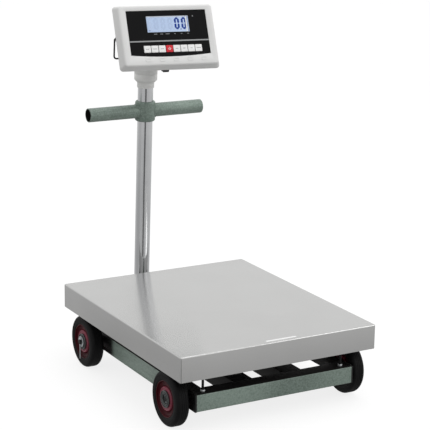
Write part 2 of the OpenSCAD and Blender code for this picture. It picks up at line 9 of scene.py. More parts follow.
import json
import logging
import math
from collections.abc import Callable, Iterable, Mapping, Sequence
from dataclasses import dataclass, field
from enum import Enum

import bmesh
import bpy
from mathutils import Matrix, Vector

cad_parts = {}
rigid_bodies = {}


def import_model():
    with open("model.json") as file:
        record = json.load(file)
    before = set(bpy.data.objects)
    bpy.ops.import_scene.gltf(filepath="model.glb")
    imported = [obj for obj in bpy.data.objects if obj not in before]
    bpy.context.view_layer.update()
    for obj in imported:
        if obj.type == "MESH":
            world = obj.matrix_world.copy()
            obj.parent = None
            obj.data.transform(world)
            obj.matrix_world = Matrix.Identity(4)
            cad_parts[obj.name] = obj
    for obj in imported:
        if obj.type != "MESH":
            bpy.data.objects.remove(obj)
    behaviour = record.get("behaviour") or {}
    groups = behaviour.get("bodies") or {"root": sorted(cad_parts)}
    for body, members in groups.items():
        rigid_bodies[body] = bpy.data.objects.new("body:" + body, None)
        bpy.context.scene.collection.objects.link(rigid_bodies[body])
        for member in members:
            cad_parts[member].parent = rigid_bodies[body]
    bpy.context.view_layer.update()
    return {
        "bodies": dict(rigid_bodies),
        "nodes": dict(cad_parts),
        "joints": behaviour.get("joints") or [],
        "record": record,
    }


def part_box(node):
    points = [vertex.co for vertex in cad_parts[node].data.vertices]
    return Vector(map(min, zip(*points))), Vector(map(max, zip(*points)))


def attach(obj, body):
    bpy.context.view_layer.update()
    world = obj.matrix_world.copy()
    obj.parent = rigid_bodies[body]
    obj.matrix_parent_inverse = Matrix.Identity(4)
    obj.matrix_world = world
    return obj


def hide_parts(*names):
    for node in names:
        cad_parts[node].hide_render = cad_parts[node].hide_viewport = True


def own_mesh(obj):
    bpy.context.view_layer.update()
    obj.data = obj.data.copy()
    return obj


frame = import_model()

MM = 0.001
SMOOTH_ANGLE = 38.0
SIDES = (-1, 1)
# Cloudy drift in every finish: its size against the pattern's, and how much it tints the surface.
DRIFT_SIZE = 60.0
DRIFT_TINT = 0.5
# How much the pattern itself tints the surface, and how strongly its bumps shade.
PATTERN_TINT = 0.6
BUMP_STRENGTH = 0.6
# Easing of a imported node: points this near are one, in millimetres, and faces this flat are one, in
# degrees; then the segments of a bevel.
MERGE = 0.002
FLAT_ANGLE = 0.6
BEVEL_SEGMENTS = 3
# Weld beads: length of a pool and height of its ripple against the radius, and radians per pool.
BEAD_POOL = 0.45
BEAD_RIPPLE = 0.13
BEAD_RHYTHM = 1.9
# Screw threads: root against outer radius, end chamfer against the root, and pitch in millimetres.
THREAD_ROOT = 0.86
THREAD_END = 0.8
THREAD_PITCH = 2.5
# Hexagon parts: chamfer, and width of the chamfered face, against the width across flats.
HEX_CHAMFER = 0.06
HEX_FACE = 0.94
# A direction that no swept path here runs along, from which its sections take their turn.
ASKEW = Vector((0.31, 0.17, 0.93))

log = logging.getLogger("platform_scale")

Outline = list[tuple[float, float]]
Loop = list[Vector]
Tree = bpy.types.NodeTree
Socket = bpy.types.NodeSocket
Shader = bpy.types.Node
Piece = bpy.types.Object


# ---- Materials ----


def linear(colour: str) -> tuple[float, float, float, float]:
    """Turns an sRGB hex colour into linear RGBA.

    Args:
        colour: The colour as #RRGGBB.

    Returns:
        Red, green, blue and an alpha of one, in linear light.
    """
    shares = [int(colour[i:i + 2], 16) / 255 for i in (1, 3, 5)]
    red, green, blue = (s / 12.92 if s <= 0.04045 else ((s + 0.055) / 1.055) ** 2.4 for s in shares)
    return red, green, blue, 1.0


def add_node(
    tree: Tree,
    kind: str,
    settings: Mapping[str, object] | None = None,
    inputs: Mapping[str | int, object] | None = None,
) -> Shader:
    """Adds a shader node with its settings and its links.

    Args:
        tree: The node tree that takes the node.
        kind: The node's type without its ShaderNode prefix.
        settings: Properties of the node, by name.
        inputs: Values or output sockets for the node's inputs, by name or index.

    Returns:
        The new node.
    """
    node = tree.nodes.new("ShaderNode" + kind)
    for name, value in (settings or {}).items():
        setattr(node, name, value)
    for name, value in (inputs or {}).items():
        if isinstance(value, Socket):
            tree.links.new(value, node.inputs[name])
        else:
            node.inputs[name].default_value = value
    return node


def calculated(tree: Tree, operation: str, *values: Socket | float, clamp: bool = False) -> Socket:
    """Result of a calculation on sockets and numbers."""
    settings = {"operation": operation, "use_clamp": clamp}
    return add_node(tree, "Math", settings, dict(enumerate(values))).outputs[0]


def remapped(
    tree: Tree,
    value: Socket,
    low: float = 0.0,
    high: float = 1.0,
    to: tuple[float, float] = (0.0, 1.0),
    soft: bool = False,
) -> Socket:
    """Maps a value from one range to another, with soft ends if asked."""
    settings = {"interpolation_type": "SMOOTHSTEP" if soft else "LINEAR"}
    inputs = {"Value": value, "From Min": low, "From Max": high, "To Min": to[0], "To Max": to[1]}
    return add_node(tree, "MapRange", settings, inputs).outputs[0]


def mixed(tree: Tree, share: Socket, first: object, second: object) -> Socket:
    """Mixes two colours, each a socket or linear RGBA."""
    inputs = {"Factor": share, 6: first, 7: second}
    return add_node(tree, "Mix", {"data_type": "RGBA"}, inputs).outputs[2]


def noise(tree: Tree, place: Socket, size: float, detail: float) -> Socket:
    """Noise from 0 to 1 whose features are of a size in millimetres."""
    inputs = {"Vector": place, "Scale": per_metre(size), "Detail": detail}
    return add_node(tree, "TexNoise", inputs=inputs).outputs["Fac"]


def per_metre(size: float) -> float:
    """Texture scale that makes a pattern's cells as wide as size, in millimetres."""
    return 1000 / size


class Grain(Enum):
    """Axis along which a surface was brushed, drawn or turned."""

    X = (1, 0, 0)
    Y = (0, 1, 0)
    Z = (0, 0, 1)

    def scale(self, width: float, length: float) -> Vector:
        """Texture scale of lines that are width across and length along the grain, in millimetres."""
        return Vector([per_metre(length if along else width) for along in self.value])


@dataclass(frozen=True)
class Finish:
    """A surface finish: the stuff it is made of and how its surface was made.

    Attributes:
        name: The material's name.
        colour: Main colour, sRGB hex.
        shade: Second colour that the pattern mixes in, sRGB hex.
        roughness: Roughness where the pattern is at its smoothest.
        spread: How much rougher the pattern makes it.
        metallic: Share of bare metal.
        size: Size of the pattern's cells, in millimetres.
        relief: Height of the pattern's bumps, in millimetres.
        gloss: Strength of the clear reflection on a surface that isn't metal.
    """

    name: str
    colour: str
    shade: str
    roughness: float
    spread: float = 0.08
    metallic: float = 0.0
    size: float = 1.5
    relief: float = 0.02
    gloss: float = 0.5

    def material(self) -> bpy.types.Material:
        """Makes the material, or finds it if it was made before."""
        found = bpy.data.materials.get(self.name)
        if found:
            return found
        made = bpy.data.materials.new(self.name)
        made.use_nodes = True
        tree = made.node_tree
        tree.nodes.clear()
        shader = add_node(
            tree, "BsdfPrincipled", inputs={"Metallic": self.metallic, "Specular IOR Level": self.gloss}
        )
        add_node(tree, "OutputMaterial", inputs={"Surface": shader.outputs[0]})
        place = add_node(tree, "TexCoord").outputs["Object"]
        self.dress(tree, shader, place)
        return made

    def pattern(self, tree: Tree, place: Socket) -> Socket:
        """Draws the surface's pattern, here the fine grain of a spark-eroded or sprayed surface.

        Args:
            tree: The material's node tree.
            place: Coordinates on the piece, in metres.

        Returns:
            A socket from 0 to 1.
        """
        return noise(tree, place, self.size, 3.0)

    def dress(self, tree: Tree, shader: Shader, place: Socket) -> None:
        """Links the pattern to the shader's colour, roughness and bumps.

        Args:
            tree: The material's node tree.
            shader: The principled shader to dress.
            place: Coordinates on the piece, in metres.
        """
        value = self.pattern(tree, place)
        drift = noise(tree, place, DRIFT_SIZE * self.size, 2.0)
        cloud = remapped(tree, drift, 0.35, 0.65, (0.0, DRIFT_TINT))
        both = calculated(tree, "MULTIPLY_ADD", value, PATTERN_TINT, cloud, clamp=True)
        tint = mixed(tree, both, linear(self.colour), linear(self.shade))
        rough = remapped(tree, value, to=(self.roughness, self.roughness + self.spread))
        bump = add_node(
            tree,
            "Bump",
            inputs={"Height": value, "Strength": BUMP_STRENGTH, "Distance": self.relief * MM},
        )
        tree.links.new(tint, shader.inputs["Base Color"])
        tree.links.new(rough, shader.inputs["Roughness"])
        tree.links.new(bump.outputs[0], shader.inputs["Normal"])


@dataclass(frozen=True)
class BrushedMetal(Finish):
    """Metal with a directional grain, from a belt, a die or a lathe.

    Attributes:
        grain: Axis that the lines follow.
        length: Length of a line, in millimetres.
        stretch: How much the lines stretch a reflection across themselves, from 0 to 1.
    """

    grain: Grain = Grain.X
    length: float = 120.0
    stretch: float = 0.5

    def pattern(self, tree: Tree, place: Socket) -> Socket:
        """Draws long thin lines along the grain."""
        scale = self.grain.scale(self.size, self.length)
        stretched = add_node(tree, "Mapping", inputs={"Vector": place, "Scale": scale})
        return add_node(
            tree, "TexNoise", inputs={"Vector": stretched.outputs[0], "Scale": 1.0, "Detail": 4.0}
        ).outputs["Fac"]

    def dress(self, tree: Tree, shader: Shader, place: Socket) -> None:
        """Dresses the metal, and stretches its reflections across the lines."""
        super().dress(tree, shader, place)
        shader.inputs["Anisotropic"].default_value = self.stretch
        facing = add_node(tree, "NewGeometry").outputs["Normal"]
        across = add_node(
            tree, "VectorMath", {"operation": "CROSS_PRODUCT"}, {0: facing, 1: self.grain.value}
        )
        # On a face that the grain meets end on, the small nudge gives the stretch a direction.
        nudged = add_node(
            tree, "VectorMath", {"operation": "ADD"}, {0: across.outputs[0], 1: (0.01, 0.02, 0.01)}
        )
        tree.links.new(nudged.outputs[0], shader.inputs["Tangent"])


@dataclass(frozen=True)
class HammeredEnamel(Finish):
    """Hammer-effect enamel: smooth round dimples with darker veins where the paint has drawn apart.

    Attributes:
        softness: How softly one dimple runs into the next, from 0 to 1.
        speck: Size of the specks against the dimples' size.
        speck_tint: Strength of the specks.
        clear: Share of a dimple's radius that stays free of the vein.
    """

    softness: float = 0.4
    speck: float = 0.6
    speck_tint: float = 1.1
    clear: float = 0.55

    def pattern(self, tree: Tree, place: Socket) -> Socket:
        """Draws the dimples' cells, dark at their rims, broken up by finer specks."""
        cells = add_node(
            tree,
            "TexVoronoi",
            {"feature": "SMOOTH_F1"},
            {"Vector": place, "Scale": per_metre(self.size), "Smoothness": self.softness},
        )
        veins = calculated(tree, "SUBTRACT", cells.outputs["Distance"], self.clear)
        specks = noise(tree, place, self.size * self.speck, 2.0)
        return calculated(tree, "MULTIPLY_ADD", specks, self.speck_tint, veins, clamp=True)


@dataclass(frozen=True)
class EnamelWithShadedEnds(HammeredEnamel):
    """Hammered enamel that turns black towards the ends of a rail: painted shade where the wheels shade it.

    Attributes:
        painted_shade: Colour of the painted shade at the rail's ends, sRGB hex.
        front: Place on Y where the front fade is at its middle, in millimetres.
        rear: Place on Y where the rear fade is at its middle, in millimetres.
        fade: Width of the painted shade's soft edge, in millimetres.
    """

    painted_shade: str = "#0d0d0d"
    front: float = -200.0
    rear: float = 70.0
    fade: float = 24.0

    def dress(self, tree: Tree, shader: Shader, place: Socket) -> None:
        """Dresses the enamel, then mixes the painted shade in beyond the two soft edges."""
        super().dress(tree, shader, place)
        enamel = shader.inputs["Base Color"].links[0].from_socket
        along = add_node(tree, "SeparateXYZ", inputs={0: place}).outputs["Y"]
        for edge, side in ((self.front, -1), (self.rear, 1)):
            low, high = (edge + end * side * self.fade / 2 for end in SIDES)
            # Share of painted shade: one beyond this edge, none on the rail's middle.
            cover = remapped(tree, along, low * MM, high * MM, soft=True)
            enamel = mixed(tree, cover, enamel, linear(self.painted_shade))
        tree.links.new(enamel, shader.inputs["Base Color"])


@dataclass(frozen=True)
class Backlit(Finish):
    """Glass of a backlit display: a pale diffuser that glows a little, evenly lit from one end.

    Attributes:
        glow: Strength of the light from behind.
    """

    glow: float = 0.35

    def dress(self, tree: Tree, shader: Shader, place: Socket) -> None:
        """Dresses the glass and lets its own colour shine."""
        super().dress(tree, shader, place)
        tint = shader.inputs["Base Color"].links[0].from_socket
        tree.links.new(tint, shader.inputs["Emission Color"])
        shader.inputs["Emission Strength"].default_value = self.glow


@dataclass(frozen=True)
class ClearPane(Finish):
    """Clear hard-coated polycarbonate, mostly see-through, that keeps a soft gloss.

    Attributes:
        cover: Share of the light that the pane itself sends back.
    """

    cover: float = 0.1

    def dress(self, tree: Tree, shader: Shader, place: Socket) -> None:
        """Dresses the pane and lets light through it."""
        super().dress(tree, shader, place)
        shader.inputs["Alpha"].default_value = self.cover


# Type 304 stainless sheet, belt-brushed: a satin sheen with fine lines. Real lines are 0.1 mm
# apart, too fine to show, so they are drawn 1.8 mm apart.
STAINLESS = BrushedMetal(
    "stainless_belt_brushed", "#c2c2c1", "#bebebd", 0.21, 0.02, 1.0, 1.8, 0.001,
    grain=Grain.X, length=170.0, stretch=0.85,
)
# Hammer-effect enamel over steel: a grey-green with a metallic flake and dimples 2 to 3 mm across,
# drawn 3.6 mm across.
HAMMERED = HammeredEnamel("enamel_hammered_green", "#93a399", "#5d6b63", 0.4, 0.12, 0.25, 3.6, 0.12)
# Side rails: the green enamel with painted shade near the wheels, black towards both ends.
RAIL_HAMMERED_SHADED_ENDS = EnamelWithShadedEnds(
    "enamel_hammered_green_shaded_ends", "#93a399", "#5d6b63", 0.4, 0.12, 0.25, 3.6, 0.12
)
# Black powder coat: satin, with an orange-peel skin of about 1 mm, drawn 2.5 mm, and a little dust. The same
# black is laid on the rails' upper and inner faces and in the handle tubes' bores as painted shade.
POWDER_AND_PAINTED_SHADE = Finish("powder_coat_black_and_painted_shade", "#0c0c0c", "#1b1817", 0.5, 0.2, 0.0, 2.5, 0.03, 0.25)
# Bright zinc plate: pale grey, slightly blue, with soft cloudy spangle of 1 to 2 mm.
ZINC = Finish("zinc_plate_bright", "#d6d9da", "#b4b8bb", 0.26, 0.16, 0.8, 2.0, 0.01)
# Black oxide on steel: an oily black that leaves the threads a dull gleam.
BLACK_OXIDE = Finish("steel_black_oxide", "#0b0b0c", "#1a1a1b", 0.38, 0.2, 0.6, 1.2, 0.01)
# Hard chrome on drawn tube: a mirror that is softened along the tube by polishing lines. Real
# lines are 0.05 mm wide, drawn 1.2 mm wide.
CHROME = BrushedMetal(
    "chrome_plate_polished", "#e2e3e4", "#d2d3d5", 0.1, 0.06, 1.0, 1.2, 0.002,
    grain=Grain.Z, length=260.0, stretch=0.3,
)
# Milled aluminium block of the load cell: bright, with cutter lines 0.3 mm apart, drawn 1 mm.
ALUMINIUM = BrushedMetal(
    "aluminium_milled", "#d3d5d6", "#b9bcbe", 0.3, 0.12, 1.0, 1.0, 0.02, grain=Grain.Y, length=40.0
)
# Solid rubber tyre: matt black, faintly dusty, with a moulded skin of 0.5 mm grain, drawn 1.2 mm.
TYRE = Finish("rubber_moulded_black", "#070707", "#101011", 0.5, 0.2, 0.0, 1.2, 0.03, 0.16)
# Stoved red enamel on the pressed rim: a deep red with a slight orange peel.
RIM_RED = Finish("enamel_stoved_red", "#49000d", "#2e0008", 0.3, 0.1, 0.0, 2.0, 0.01, 0.12)
# The rim's raised ring: the same red, painted lighter as a highlight where the ring catches the light.
RING_RED_PAINTED_HIGHLIGHT = Finish("enamel_red_painted_highlight", "#8c3448", "#742336", 0.35, 0.15, 0.0, 2.2, 0.02)
# Turned steel hub: dull grey under a film of oil. Its lathe rings are in the mesh.
HUB_STEEL = Finish("steel_turned", "#777a7a", "#4e5151", 0.32, 0.16, 0.8, 1.4, 0.02)
# ABS housing, moulded in a spark-eroded tool: pale warm grey, matt, with 0.3 mm grain drawn 1.2 mm.
ABS = Finish("abs_moulded_grey", "#dfdfde", "#d7d7d6", 0.5, 0.12, 0.0, 1.2, 0.02)
# ABS cap on the post: a shade lighter than the housing above it, painted light to make up for the housing's
# shade on it.
CAP_ABS_PAINTED_LIGHT = Finish("abs_moulded_grey_painted_light", "#e4e4e2", "#dcdcda", 0.5, 0.12, 0.0, 1.2, 0.02)
# Screen-printed polyester overlay: black and satin, with a fine 0.4 mm texture drawn 1 mm.
PANEL_FILM = Finish("polyester_film_black", "#0a0a0b", "#0f0f10", 0.4, 0.1, 0.0, 1.0, 0.008, 0.09)
# Printing inks on the overlay and the key caps: flat and slightly chalky.
INK_GREY = Finish("ink_printed_grey", "#9b9d9e", "#8e9091", 0.6, 0.1, 0.0, 0.8, 0.002)
INK_DIM = Finish("ink_printed_dim", "#8b8d8e", "#7c7e7f", 0.6, 0.1, 0.0, 0.8, 0.002)
INK_WHITE = Finish("ink_printed_white", "#f2f2f2", "#e8e8e8", 0.55, 0.1, 0.0, 0.8, 0.002)
# Backlit liquid crystal glass: pale blue. Its shown segments are dark blue and its resting
# segments barely darker than the ground.
LCD = Backlit("lcd_glass_backlit", "#aebfd9", "#a2b5d2", 0.25, 0.05, 0.0, 3.0, 0.0, glow=0.25)
LCD_ON = Finish("lcd_segment_on", "#02328c", "#063a96", 0.45, 0.05, 0.0, 2.0, 0.0, 0.1)
LCD_OFF = Backlit("lcd_segment_off", "#a3b5d1", "#98abca", 0.3, 0.05, 0.0, 3.0, 0.0, glow=0.24)
# White moulded frame round the display glass.
LCD_FRAME = Finish("abs_moulded_white", "#e9ecee", "#dde1e4", 0.45, 0.1, 0.0, 1.0, 0.01)
# Hard-coated polycarbonate window over the display.
WINDOW = ClearPane("polycarbonate_clear", "#eef4fa", "#e6edf5", 0.08, 0.04, 0.0, 3.0, 0.0, 0.2, cover=0.02)
# Circuit board under green solder mask: glossy, with the glass weave just visible at 0.8 mm.
BOARD = Finish("solder_mask_green", "#1f5a38", "#17472b", 0.3, 0.12, 0.0, 0.8, 0.02)
# Sealed lead battery in a dark ABS case.
BATTERY_CASE = Finish("abs_moulded_slate", "#2f3a44", "#27313a", 0.42, 0.14, 0.0, 1.2, 0.02)
# Glass-filled nylon of the knob and glands: black with a dry sheen.
NYLON = Finish("nylon_moulded_black", "#141414", "#1e1e1e", 0.46, 0.16, 0.0, 1.2, 0.03, 0.3)
# Soft rubber pads between the load frame and the pan.
PAD = Finish("rubber_pad_black", "#1d1d1d", "#282828", 0.7, 0.15, 0.0, 1.5, 0.03)
# Silicone-coated key caps: white ones and a red one, smooth with a soft gloss.
KEY_WHITE = Finish("key_cap_white", "#f2f2f1", "#e9e9e8", 0.4, 0.08, 0.0, 1.0, 0.008)
KEY_RED = Finish("key_cap_red", "#e0122a", "#c60d22", 0.38, 0.08, 0.0, 1.0, 0.008)
# Blank vinyl label on the pan: white, faintly creased.
VINYL = Finish("vinyl_label_white", "#ececec", "#dedede", 0.45, 0.1, 0.0, 4.0, 0.02)


# ---- Shapes ----


def rounded(
    width: float, height: float, radius: float, bow: float = 0.0, shift: float = 0.0, steps: int = 6
) -> Outline:
    """Outline of a rectangle with round corners and a lower edge that may bow outwards.

    Args:
        width: Overall width.
        height: Height at the sides.
        radius: Radius of the corners.
        bow: How far the middle of the lower edge drops.
        shift: How far up the whole outline is moved.
        steps: Number of segments in a corner.

    Returns:
        The outline's points, anticlockwise from the lower left corner.
    """
    x, y = width / 2 - radius, height / 2 - radius
    points: Outline = []
    for index, (sx, sy) in enumerate(((-1, -1), (1, -1), (1, 1), (-1, 1))):
        for step in range(steps + 1):
            turn = math.radians(180 + 90 * (index + step / steps))
            points.append((sx * x + radius * math.cos(turn), sy * y + radius * math.sin(turn) + shift))
        if index == 0:
            for step in range(1, 12):
                across = step / 6 - 1
                points.append((across * x, -height / 2 - bow * (1 - across**2) + shift))
    return points


def arc(
    centre: tuple[float, float], radius: float, start: float, end: float, steps: int = 5
) -> Outline:
    """Points on an arc, from one angle in degrees to another, both ends included."""
    turns = [math.radians(start + (end - start) * i / steps) for i in range(steps + 1)]
    return [(centre[0] + radius * math.cos(t), centre[1] + radius * math.sin(t)) for t in turns]


def regular(sides: int, across: float) -> Outline:
    """Corners of a regular polygon that is across wide between flats."""
    radius = across / 2 / math.cos(math.pi / sides)
    turns = [2 * math.pi * i / sides for i in range(sides)]
    return [(radius * math.cos(t), radius * math.sin(t)) for t in turns]


def raised(outline: Outline, z: float) -> Loop:
    """An outline as a loop of points at height z."""
    return [Vector((x, y, z)) for x, y in outline]


def frame_of(origin: Vector, x: Vector, z: Vector) -> Matrix:
    """Matrix of a local frame from its origin, its x axis and its z axis."""
    y = z.cross(x)
    rows = [[x[i], y[i], z[i], origin[i]] for i in range(3)]
    return Matrix([*rows, [0, 0, 0, 1]])


class Form:
    """A mesh in millimetres, put together from closed lofts, revolves and sweeps."""

    def __init__(self) -> None:
        """Starts with nothing."""
        self.points: list[Vector] = []
        self.faces: list[tuple[int, ...]] = []

    def loft(self, loops: Sequence[Loop], matrix: Matrix | None = None, ring: bool = False) -> "Form":
        """Skins a row of loops that have the same number of points.

        Args:
            loops: The loops in order.
            matrix: Where the loft stands.
            ring: Joins the last loop to the first, where otherwise both ends are capped.

        Returns:
            This form.
        """
        first, count, rows = len(self.points), len(loops[0]), len(loops)
        place = matrix or Matrix()
        self.points += [place @ point for loop in loops for point in loop]
        for row in range(rows if ring else rows - 1):
            here, above = first + row * count, first + (row + 1) % rows * count
            for i in range(count):
                j = (i + 1) % count
                self.faces.append((here + i, here + j, above + j, above + i))
        if not ring:
            self.faces.append(tuple(range(first + count - 1, first - 1, -1)))
            self.faces.append(tuple(range(first + (rows - 1) * count, first + rows * count)))
        return self

    def prism(self, outline: Outline, low: float, high: float, matrix: Matrix | None = None) -> "Form":
        """Extrudes an outline from one height to another."""
        return self.loft([raised(outline, low), raised(outline, high)], matrix)

    def revolve(
        self, profile: Outline, matrix: Matrix | None = None, ring: bool = True, segments: int = 72
    ) -> "Form":
        """Turns a profile about the z axis.

        Args:
            profile: Radius and height of each point.
            matrix: Where the turned shape stands.
            ring: The profile is a closed shape beside the axis; otherwise its ends are capped.
            segments: Number of segments in a turn.

        Returns:
            This form.
        """
        turns = [2 * math.pi * i / segments for i in range(segments)]
        loops = [[Vector((r * math.cos(t), r * math.sin(t), z)) for t in turns] for r, z in profile]
        return self.loft(loops, matrix, ring)

    def sweep(self, path: Loop, radii: Sequence[float], closed: bool = False, sides: int = 12) -> "Form":
        """Runs a round section along a path.

        Args:
            path: Centres of the sections.
            radii: Radius of each section.
            closed: The path's end joins its start.
            sides: Number of sides of a section.

        Returns:
            This form.
        """
        count = len(path)
        loops: list[Loop] = []
        across = ASKEW
        for i, (centre, radius) in enumerate(zip(path, radii)):
            before = path[(i - 1) % count] if closed or i else centre
            after = path[(i + 1) % count] if closed or i < count - 1 else centre
            along = (after - before).normalized()
            across = (across - along * across.dot(along)).normalized()
            other = along.cross(across)
            turns = [2 * math.pi * k / sides for k in range(sides)]
            loops.append(
                [centre + radius * (math.cos(t) * across + math.sin(t) * other) for t in turns]
            )
        return self.loft(loops, ring=closed)

    def tube(self, low: Vector, high: Vector, axis: int, wall: float, radius: float) -> "Form":
        """Hollow rectangular tube with round edges that fills a box.

        Args:
            low: The box's lowest corner.
            high: The box's highest corner.
            axis: Axis that the tube runs along, 0 for x or 1 for y.
            wall: Thickness of its wall.
            radius: Radius of its outer edges.

        Returns:
            This form.
        """
        size, middle = high - low, (low + high) / 2
        x, z = Vector((0, 1, 0) if axis == 0 else (-1, 0, 0)), Vector([i == axis for i in range(3)])
        wide = size[1 - axis]
        half = size[axis] / 2
        outer = rounded(wide, size[2], radius, steps=4)
        inner = rounded(wide - 2 * wall, size[2] - 2 * wall, max(radius - wall, 0.4), steps=4)
        loops = [raised(outer, -half), raised(outer, half), raised(inner, half), raised(inner, -half)]
        return self.loft(loops, frame_of(middle, x, z), ring=True)

    def bead(self, path: Loop, radius: float, closed: bool = False) -> "Form":
        """Weld bead along a path, with the ripples of its pools, and tapered ends if it is open.

        Args:
            path: Corners or points of the weld's root.
            radius: Radius of the bead.
            closed: The bead runs round and meets itself.

        Returns:
            This form.
        """
        step = radius * BEAD_POOL
        corners = [*path, path[0]] if closed else path
        line: Loop = []
        for start, end in zip(corners, corners[1:]):
            pieces = max(round((end - start).length / step), 1)
            line += [start.lerp(end, i / pieces) for i in range(pieces)]
        if not closed:
            line.append(corners[-1].copy())
        radii = [radius * (1 + BEAD_RIPPLE * math.sin(i * BEAD_RHYTHM)) for i in range(len(line))]
        if not closed:
            radii[0] = radii[-1] = radius * BEAD_POOL
        return self.sweep(line, radii, closed, sides=10)

    def piece(self, name: str, ease: float = 0.0, angle: float = SMOOTH_ANGLE) -> Piece:
        """Makes an object of the form, in metres.

        Args:
            name: The piece's name.
            ease: Width of the bevel on its sharp edges, in millimetres.
            angle: Edges sharper than this, in degrees, stay sharp or are bevelled.

        Returns:
            The new object, linked to the scene.
        """
        mesh = bpy.data.meshes.new(name)
        mesh.from_pydata([point * MM for point in self.points], [], self.faces)
        return finish_mesh(name, mesh, ease, angle)


def finish_mesh(name: str, mesh: bpy.types.Mesh, ease: float, angle: float) -> Piece:
    """Turns a mesh's faces outwards, shades it and eases its edges.

    Args:
        name: The piece's name.
        mesh: Its mesh, in metres.
        ease: Width of the bevel, in millimetres, or zero for none.
        angle: Edges sharper than this, in degrees, stay sharp or are bevelled.

    Returns:
        The new object, linked to the scene.
    """
    work = bmesh.new()
    work.from_mesh(mesh)
    bmesh.ops.recalc_face_normals(work, faces=work.faces)
    work.to_mesh(mesh)
    work.free()
    mesh.shade_smooth()
    piece = bpy.data.objects.new(name, mesh)
    bpy.context.scene.collection.objects.link(piece)
    if ease:
        bevel = piece.modifiers.new("eased_edges", "BEVEL")
        bevel.width = ease * MM
        bevel.segments = BEVEL_SEGMENTS
        bevel.limit_method = "ANGLE"
        bevel.angle_limit = math.radians(angle)
        bevel.harden_normals = True
    else:
        mesh.set_sharp_from_angle(angle=math.radians(angle))
    return piece


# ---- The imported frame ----


@dataclass
class Site:
    """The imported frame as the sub-assemblies ask for it, in millimetres."""

    nodes: dict[str, Piece]
    joints: dict[str, dict]
    slots: dict[str, str]
    body_of: dict[str, str]
    count: int = 0

    @classmethod
    def from_frame(cls, packed: Mapping[str, object]) -> "Site":
        """Reads the nodes, the joints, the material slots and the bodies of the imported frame."""
        record = packed["record"]
        return cls(
            nodes=packed["nodes"],
            joints={joint["name"]: joint for joint in packed["joints"]},
            slots={part["node"]: part["material_slot"] for part in record["subparts"]},
            body_of={n: body for body, nodes in record["behaviour"]["bodies"].items() for n in nodes},
        )

    def box(self, node: str) -> tuple[Vector, Vector]:
        """Lowest and highest corner of a node, in millimetres."""
        low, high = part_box(node)
        return low / MM, high / MM

    def axis(self, joint: str) -> Vector:
        """Direction of a joint's axis."""
        return Vector(self.joints[joint]["axis"]).normalized()

    def point(self, joint: str) -> Vector:
        """A point on a hinge's axis, in millimetres."""
        return Vector(self.joints[joint]["pos_m"]) / MM

    def report(self, piece: Piece, finish: Finish, body: str) -> None:
        """Logs a piece that is done."""
        self.count += 1
        log.info("%3d %s: %s, rides on %s", self.count, piece.name, finish.name, body)

    def fit(self, piece: Piece, finish: Finish, *nodes: str, body: str | None = None) -> Piece:
        """Dresses a piece, rides it on its body and hides the nodes that it replaces.

        Args:
            piece: The piece, in place.
            finish: Its finish.
            nodes: The nodes that it replaces.
            body: The body that it rides on, if it replaces no node.

        Returns:
            The piece.
        """
        piece.data.materials.clear()
        piece.data.materials.append(finish.material())
        rides_on = body or self.body_of[nodes[0]]
        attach(piece, rides_on)
        if nodes:
            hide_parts(*nodes)
        self.report(piece, finish, rides_on)
        return piece

    def ease(self, node: str, finish: Finish, width: float, angle: float = 32.0) -> Piece:
        """Replaces a node by the same shape with its sharp edges eased, as the real edges are.

        Args:
            node: The node's name.
            finish: The piece's finish.
            width: Width of the bevel, in millimetres.
            angle: Edges sharper than this, in degrees, are eased.

        Returns:
            The new piece.
        """
        mesh = bpy.data.meshes.new(node + "_eased")
        work = bmesh.new()
        work.from_mesh(self.nodes[node].data)
        bmesh.ops.remove_doubles(work, verts=work.verts, dist=MERGE * MM)
        flat = math.radians(FLAT_ANGLE)
        bmesh.ops.dissolve_limit(work, angle_limit=flat, verts=work.verts, edges=work.edges)
        work.to_mesh(mesh)
        work.free()
        return self.fit(finish_mesh(node + "_eased", mesh, width, angle), finish, node)


def paint(piece: Piece, finish: Finish, where: Callable[[Vector, Vector], bool]) -> None:
    """Gives some of a piece's faces a second finish.

    Args:
        piece: The piece.
        finish: The finish for those faces.
        where: Tells from a face's centre in millimetres and its normal whether it takes the finish.
    """
    piece.data.materials.append(finish.material())
    index = len(piece.data.materials) - 1
    for face in piece.data.polygons:
        if where(face.center / MM, face.normal):
            face.material_index = index


# ---- Platform ----


